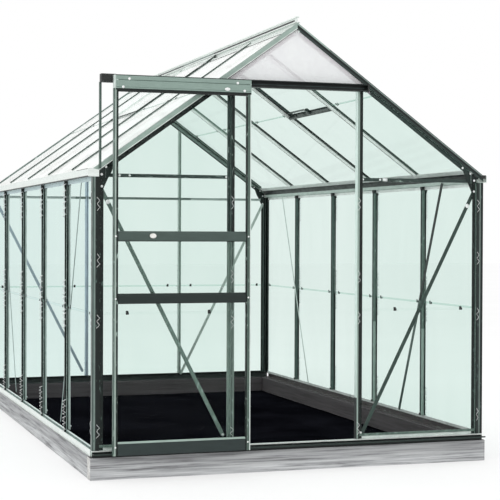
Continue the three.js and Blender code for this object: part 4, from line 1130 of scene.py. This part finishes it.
# ---------------------------------------------------------------- end caps
def add_end_caps():
    """Plugs on the gutters' and the ridge's open ends, and on the door track."""
    left_cap = [
        (-0.936, 1.3495), (-0.9850, 1.3495), (-0.9862, 1.3600), (-0.9862, 1.3866), (-0.967, 1.3866),
        (-0.936, 1.3795),
    ]
    right_cap = [(0.950, 1.3700), (0.9790, 1.3700), (0.9790, 1.3866), (0.958, 1.3866)]
    for side, outline, slot, material in (
        ("left", left_cap, "aluminium", CAP_METAL), ("right", right_cap, "black_plastic", BLACK),
    ):
        for end in ("front", "rear"):
            name = f"gutter_cap_{end}_{side}"
            add_prism(name, end, slot, [material], outline, -0.0026, 0.0016, bevel=0.0005)
    ridge_cap = rectangle(-0.0075, 2.1025, 0.0075, 2.110)
    for end in ("front", "rear"):
        add_prism(f"ridge_cap_{end}", end, "aluminium", [CAP_METAL], ridge_cap, -0.010, 0.003, bevel=0.001)
    low, high = TRACK_BOTTOM - 0.0014, TRACK_TOP + 0.0014
    back, front = -0.0002, 0.036
    track_cap = [
        (low, back), (high, back), (high, front), (TRACK_TOP - 0.010, front), (TRACK_TOP - 0.011, 0.0348),
        (TRACK_BOTTOM + 0.011, 0.0348), (TRACK_BOTTOM + 0.010, front), (low, front),
    ]
    for name, u0, u1 in (("left", -0.9350, -0.868), ("right", 0.340, 0.348)):
        add_prism(
            f"track_cap_{name}", "front", "black_plastic", [BLACK], track_cap, u0, u1, "vwu", bevel=0.0008)


# ---------------------------------------------------------------- door
DOOR_LEFT, DOOR_RIGHT = DOOR_X - DOOR_HALF, DOOR_X + DOOR_HALF
DOOR_REBATE = DOOR_BACK + 0.0055
EDGE = 0.012  # width of the flange behind the rebate
RAIL_TOP = 0.046  # height of a middle rail
TOP_RAIL_OUT = 0.0004  # how far the top rail stands in front of the stiles

# outlines of (height above the rail's foot, distance out)
MIDDLE_RAIL = [
    (0.0, DOOR_REBATE), (0.0, 0.0565), (0.0035, 0.0565), (0.0035, RAIL_FRONT), (RAIL_TOP - 0.011, RAIL_FRONT),
    (RAIL_TOP - 0.001, 0.0535), (RAIL_TOP, 0.0515), (RAIL_TOP, DOOR_REBATE),
]
BOTTOM_RAIL = [
    (0.0, DOOR_BACK), (0.0, 0.0595), (0.002, RAIL_FRONT), (0.0535, RAIL_FRONT), (0.0605, 0.0555),
    (0.0605, DOOR_REBATE), (0.049, DOOR_REBATE), (0.049, DOOR_BACK),
]
HEAD_RAIL = [(v, w + TOP_RAIL_OUT) for v, w in (
    (0.0, DOOR_REBATE), (0.0, 0.0575), (0.0065, 0.0575), (0.0065, DOOR_FRONT), (0.0505, DOOR_FRONT),
    (0.052, 0.0592), (0.0535, DOOR_FRONT), (0.073, DOOR_FRONT), (0.073, DOOR_BACK), (EDGE, DOOR_BACK),
    (EDGE, DOOR_REBATE),
)]


PROFILE = {"body": "door", "replaces": ["door_frame"], "bevel": 0.0005}


def add_door_frame():
    """Two stiles with a groove down their faces, and four rails between them."""
    groove = DOOR_FRONT - 0.0018
    stile = [
        (0, DOOR_BACK), (0, DOOR_FRONT), (0.0045, DOOR_FRONT), (0.006, groove), (0.0105, groove),
        (0.012, DOOR_FRONT), (STILE - 0.002, DOOR_FRONT), (STILE, DOOR_FRONT - 0.003), (STILE, DOOR_REBATE),
        (EDGE, DOOR_REBATE), (EDGE, DOOR_BACK),
    ]
    for name, base, way in (("left", DOOR_LEFT, 1), ("right", DOOR_RIGHT, -1)):
        outline = [(base + way * u, w) for u, w in stile]
        add_prism(
            f"door_stile_{name}", "front", "aluminium", [STILE_FINISH[name]], outline, DOOR_BOTTOM, DOOR_TOP,
            "uwv", **PROFILE)
    u0, u1 = DOOR_LEFT + STILE, DOOR_RIGHT - STILE
    for name, low, outline in (
        ("top", DOOR_TOP - 0.073, HEAD_RAIL), ("upper", UPPER_RAIL, MIDDLE_RAIL),
        ("lower", LOWER_RAIL, MIDDLE_RAIL), ("bottom", DOOR_BOTTOM, BOTTOM_RAIL),
    ):
        ends, slot = (u0, u1), "dark_aluminium"
        if name == "top":
            ends, slot = (DOOR_LEFT + 0.010, DOOR_RIGHT), "aluminium"
        shape = [(low + v, w) for v, w in outline]
        add_prism(f"door_rail_{name}", "front", slot, [RAIL[name]], shape, *ends, "vwu", **PROFILE)


def add_door_glass():
    inset, gap = 0.0123, 0.0004
    joints = [DOOR_BOTTOM + 0.0493, 0.807, 1.085, DOOR_TOP - 0.0613]
    back = DOOR_BACK + 0.0007
    finishes = [CLEAR_PANE, PANE_EDGE]
    for i, name in enumerate(("lower", "middle", "upper")):
        outline = rectangle(DOOR_LEFT + inset, joints[i] + gap, DOOR_RIGHT - inset, joints[i + 1] - gap)
        add_prism(
            f"door_pane_{name}", "front", "glass", finishes, outline, back, back + GLASS, side=1, body="door",
            replaces=["door_glass"])


def add_door_trim():
    """Knob, bolts, brush seals, roller axles and the black guides that hook over the sill's lip."""
    axles = {"left": DOOR_LEFT + AXLE_INSET, "right": DOOR_RIGHT - AXLE_INSET}
    bm = bmesh.new()
    bolt(bm, DOOR_X - 0.140, 1.087, RAIL_FRONT, 0.0112, 0.013, 20, 1.35)
    add_piece("door_knob", bm, "front", "nylon", [NYLON], "door", smooth=True)
    bm = bmesh.new()
    face = DOOR_FRONT + TOP_RAIL_OUT
    for u, v in (
        (DOOR_LEFT + 0.070, 1.7815), (DOOR_LEFT + 0.042, 1.7445), (DOOR_RIGHT - 0.033, 1.746),
        (DOOR_RIGHT - 0.066, 1.7805),
    ):
        bolt(bm, u, v, face, 0.0062, 0.004)
    bolt(bm, DOOR_RIGHT - 0.114, 1.751, face, 0.0078, 0.0045, 16, 1.7)
    for u in (DOOR_LEFT + 0.011, DOOR_RIGHT - 0.011):
        for v in (0.150, 0.808, 1.085):
            bolt(bm, u, v, DOOR_FRONT - 0.0018, 0.0045, 0.003)
    for u in axles.values():
        nut(bm, u, AXLE_Z, 0.0215, 0.010, -0.004)
    add_piece("door_bolts", bm, "front", "steel", [ZINC], "door", smooth=True)
    bm = bmesh.new()
    for u in axles.values():
        prism(bm, round_outline(u, AXLE_Z, 0.003, 20), 0.0205, 0.0412)
    add_piece("door_axles", bm, "front", "steel", [ZINC], "door")
    bm = bmesh.new()
    u0, u1 = DOOR_LEFT + STILE, DOOR_RIGHT - STILE
    block(bm, u0, DOOR_TOP - 0.0728, 0.0576, u1, DOOR_TOP - 0.0668, 0.0612)
    for low in (LOWER_RAIL, UPPER_RAIL):
        block(bm, u0, low + 0.0002, 0.0566, u1, low + 0.0034, 0.0598)
    add_piece("door_seals", bm, "front", "rubber", [RUBBER], "door")
    low, lip, high = 0.1195, 0.1235, 0.1275
    hook = [(high, 0.046), (high, 0.0295), (low, 0.0295), (low, 0.0335), (lip, 0.0345), (lip, 0.046)]
    for name, u in axles.items():
        ends = (u - 0.020, u + 0.020)
        add_prism(f"door_guide_{name}", "front", "black_plastic", [BLACK], hook, *ends, "vwu", **PROFILE)


# ---------------------------------------------------------------- roof vents
def add_vent_trim():
    """Bolts on each vent, a rubber weather strip, and a washer on the vent's pivot."""
    top, foot = 0.0032, -0.001
    drip = [(0.5485, foot), (0.5525, foot), (0.5525, 0.0015), (0.5505, top), (0.5485, top)]
    for side in SIDES:
        face, body = f"roof_{side}", f"vent_{side}"
        middle = VENT_BAY[side] * SIDE_BAY
        bm = bmesh.new()
        for u in (-0.300, 0.300):
            for v in (0.040, 0.534):
                bolt(bm, middle + u, v, 0.0036, 0.0045, 0.0022)
        add_piece(f"vent_bolts_{side}", bm, face, "steel", [ZINC], body, smooth=True)
        ends = (middle - 0.312, middle + 0.312)
        add_prism(f"vent_drip_{side}", face, "rubber", [RUBBER], drip, *ends, "vwu", body=body)
        washer = f"vent_pivot_washer_{side}"
        outline = round_outline(middle, -0.020, 0.0052, 16)
        add_prism(washer, face, "steel", [ZINC], outline, 0.5008, 0.5030, "uwv", body=body)


# ---------------------------------------------------------------- finishes of the carried-over CAD nodes
def paint_nodes():
    """Give each node the last finish below that its name starts with."""
    by_start = {
        "track_strut": STRUT, "slam_bar": PLATE, "vent_stay": PLATE, "vent_glass_left": DUSTY_PANE,
        "vent_glass_right": TINTED_PANE, "door_roller": NYLON, "ridge_bar": RIDGE,
        "door_track": TRACK, "sill_rear": SILL["rear"], "sill_front": SILL["front"],
    }
    for side in SIDES:
        by_start.update({
            f"corner_post_front_{side}": CORNER[side], f"corner_post_rear_{side}": CORNER[side],
            f"wall_bar_{side}": WALL_BAR[side], f"rear_post_{side}": REAR_POST[side],
            f"door_jamb_{side}": JAMB[side], f"sill_{side}": SILL[side], f"eave_gutter_{side}": GUTTER[side],
            f"roof_bar_{side}": ROOF_BAR[side], f"rafter_front_{side}": RAFTER[side],
            f"rafter_rear_{side}": REAR_RAFTER[side], f"vent_frame_{side}": VENT[side],
        })
    by_start.update({
        "wall_bar_right_1": WALL_BAR["paler"], "wall_bar_right_2": WALL_BAR["paler"],
        "roof_bar_right_1": ROOF_BAR["paler"], "roof_bar_right_4": ROOF_BAR["half_pale"],
    })
    for name in nodes:
        for start, material in by_start.items():
            if name.startswith(start):
                slots = nodes[name].data.materials
                slots.clear()
                slots.append(material)


# ---------------------------------------------------------------- studio
def add_studio():
    """White sky, two soft lamps, a pale floor and the photo's camera."""
    scene = bpy.context.scene
    scene.view_settings.view_transform = "Standard"
    scene.cycles.transparent_max_bounces = 40
    world = bpy.data.worlds.new("studio")
    scene.world = world
    world.use_nodes = True
    sky = world.node_tree.nodes["Background"]
    sky.inputs["Color"].default_value = (1, 1, 1, 1)
    sky.inputs["Strength"].default_value = 1.0

    for name, place, size, power in (
        ("soft_left", (-5.0, -4.0, 4.5), 4.0, 60), ("soft_top", (0.5, 0.5, 6.5), 6.0, 60),
    ):
        light = bpy.data.lights.new(name, "AREA")
        light.size = size
        light.energy = power
        lamp = bpy.data.objects.new(name, light)
        lamp.location = place
        lamp.rotation_euler = (Vector((0, 0, 0.9)) - lamp.location).to_track_quat("-Z", "Y").to_euler()
        scene.collection.objects.link(lamp)

    bm = bmesh.new()
    bmesh.ops.create_grid(bm, x_segments=8, y_segments=8, size=40)
    mesh = bpy.data.meshes.new("floor")
    bm.to_mesh(mesh)
    bm.free()
    finish = Finish("studio_floor")
    shade = finish.noise(0.8, detail=2)
    finish.connect("Base Color", finish.ramp(shade, [(0.3, 0.44), (0.7, 0.46)]))
    finish.fixed(Roughness=0.9, Specular_IOR_Level=0.0, Emission_Color=(1, 1, 1, 1), Emission_Strength=0.53)
    mesh.materials.append(finish.material)
    floor = bpy.data.objects.new("floor", mesh)
    floor.location = (0, 0, -0.0005)
    scene.collection.objects.link(floor)

    camera_data = bpy.data.cameras.new("camera")
    camera_data.sensor_width = 36
    camera_data.lens = 101.93
    camera_data.clip_end = 200
    camera = bpy.data.objects.new("camera", camera_data)
    camera.location = (-2.2903, -7.7411, 1.1009)
    camera.rotation_euler = (math.pi / 2 - 0.0119, -0.0039, -0.3223)
    scene.collection.objects.link(camera)
    scene.camera = camera


# ---------------------------------------------------------------- assembly
add_studio()
paint_nodes()
add_plinth()
add_ground_cover()
add_wall_panes()
add_roof_panes()
add_gable_panes()
add_lap_clips()
add_seals()
add_spring_clips()
add_bar_shoes()
add_foot_seals()
add_ridge_flashing()
add_gussets()
add_ties()
add_braces()
add_bolts()
add_end_caps()
add_door_frame()
add_door_glass()
add_door_trim()
add_vent_trim()
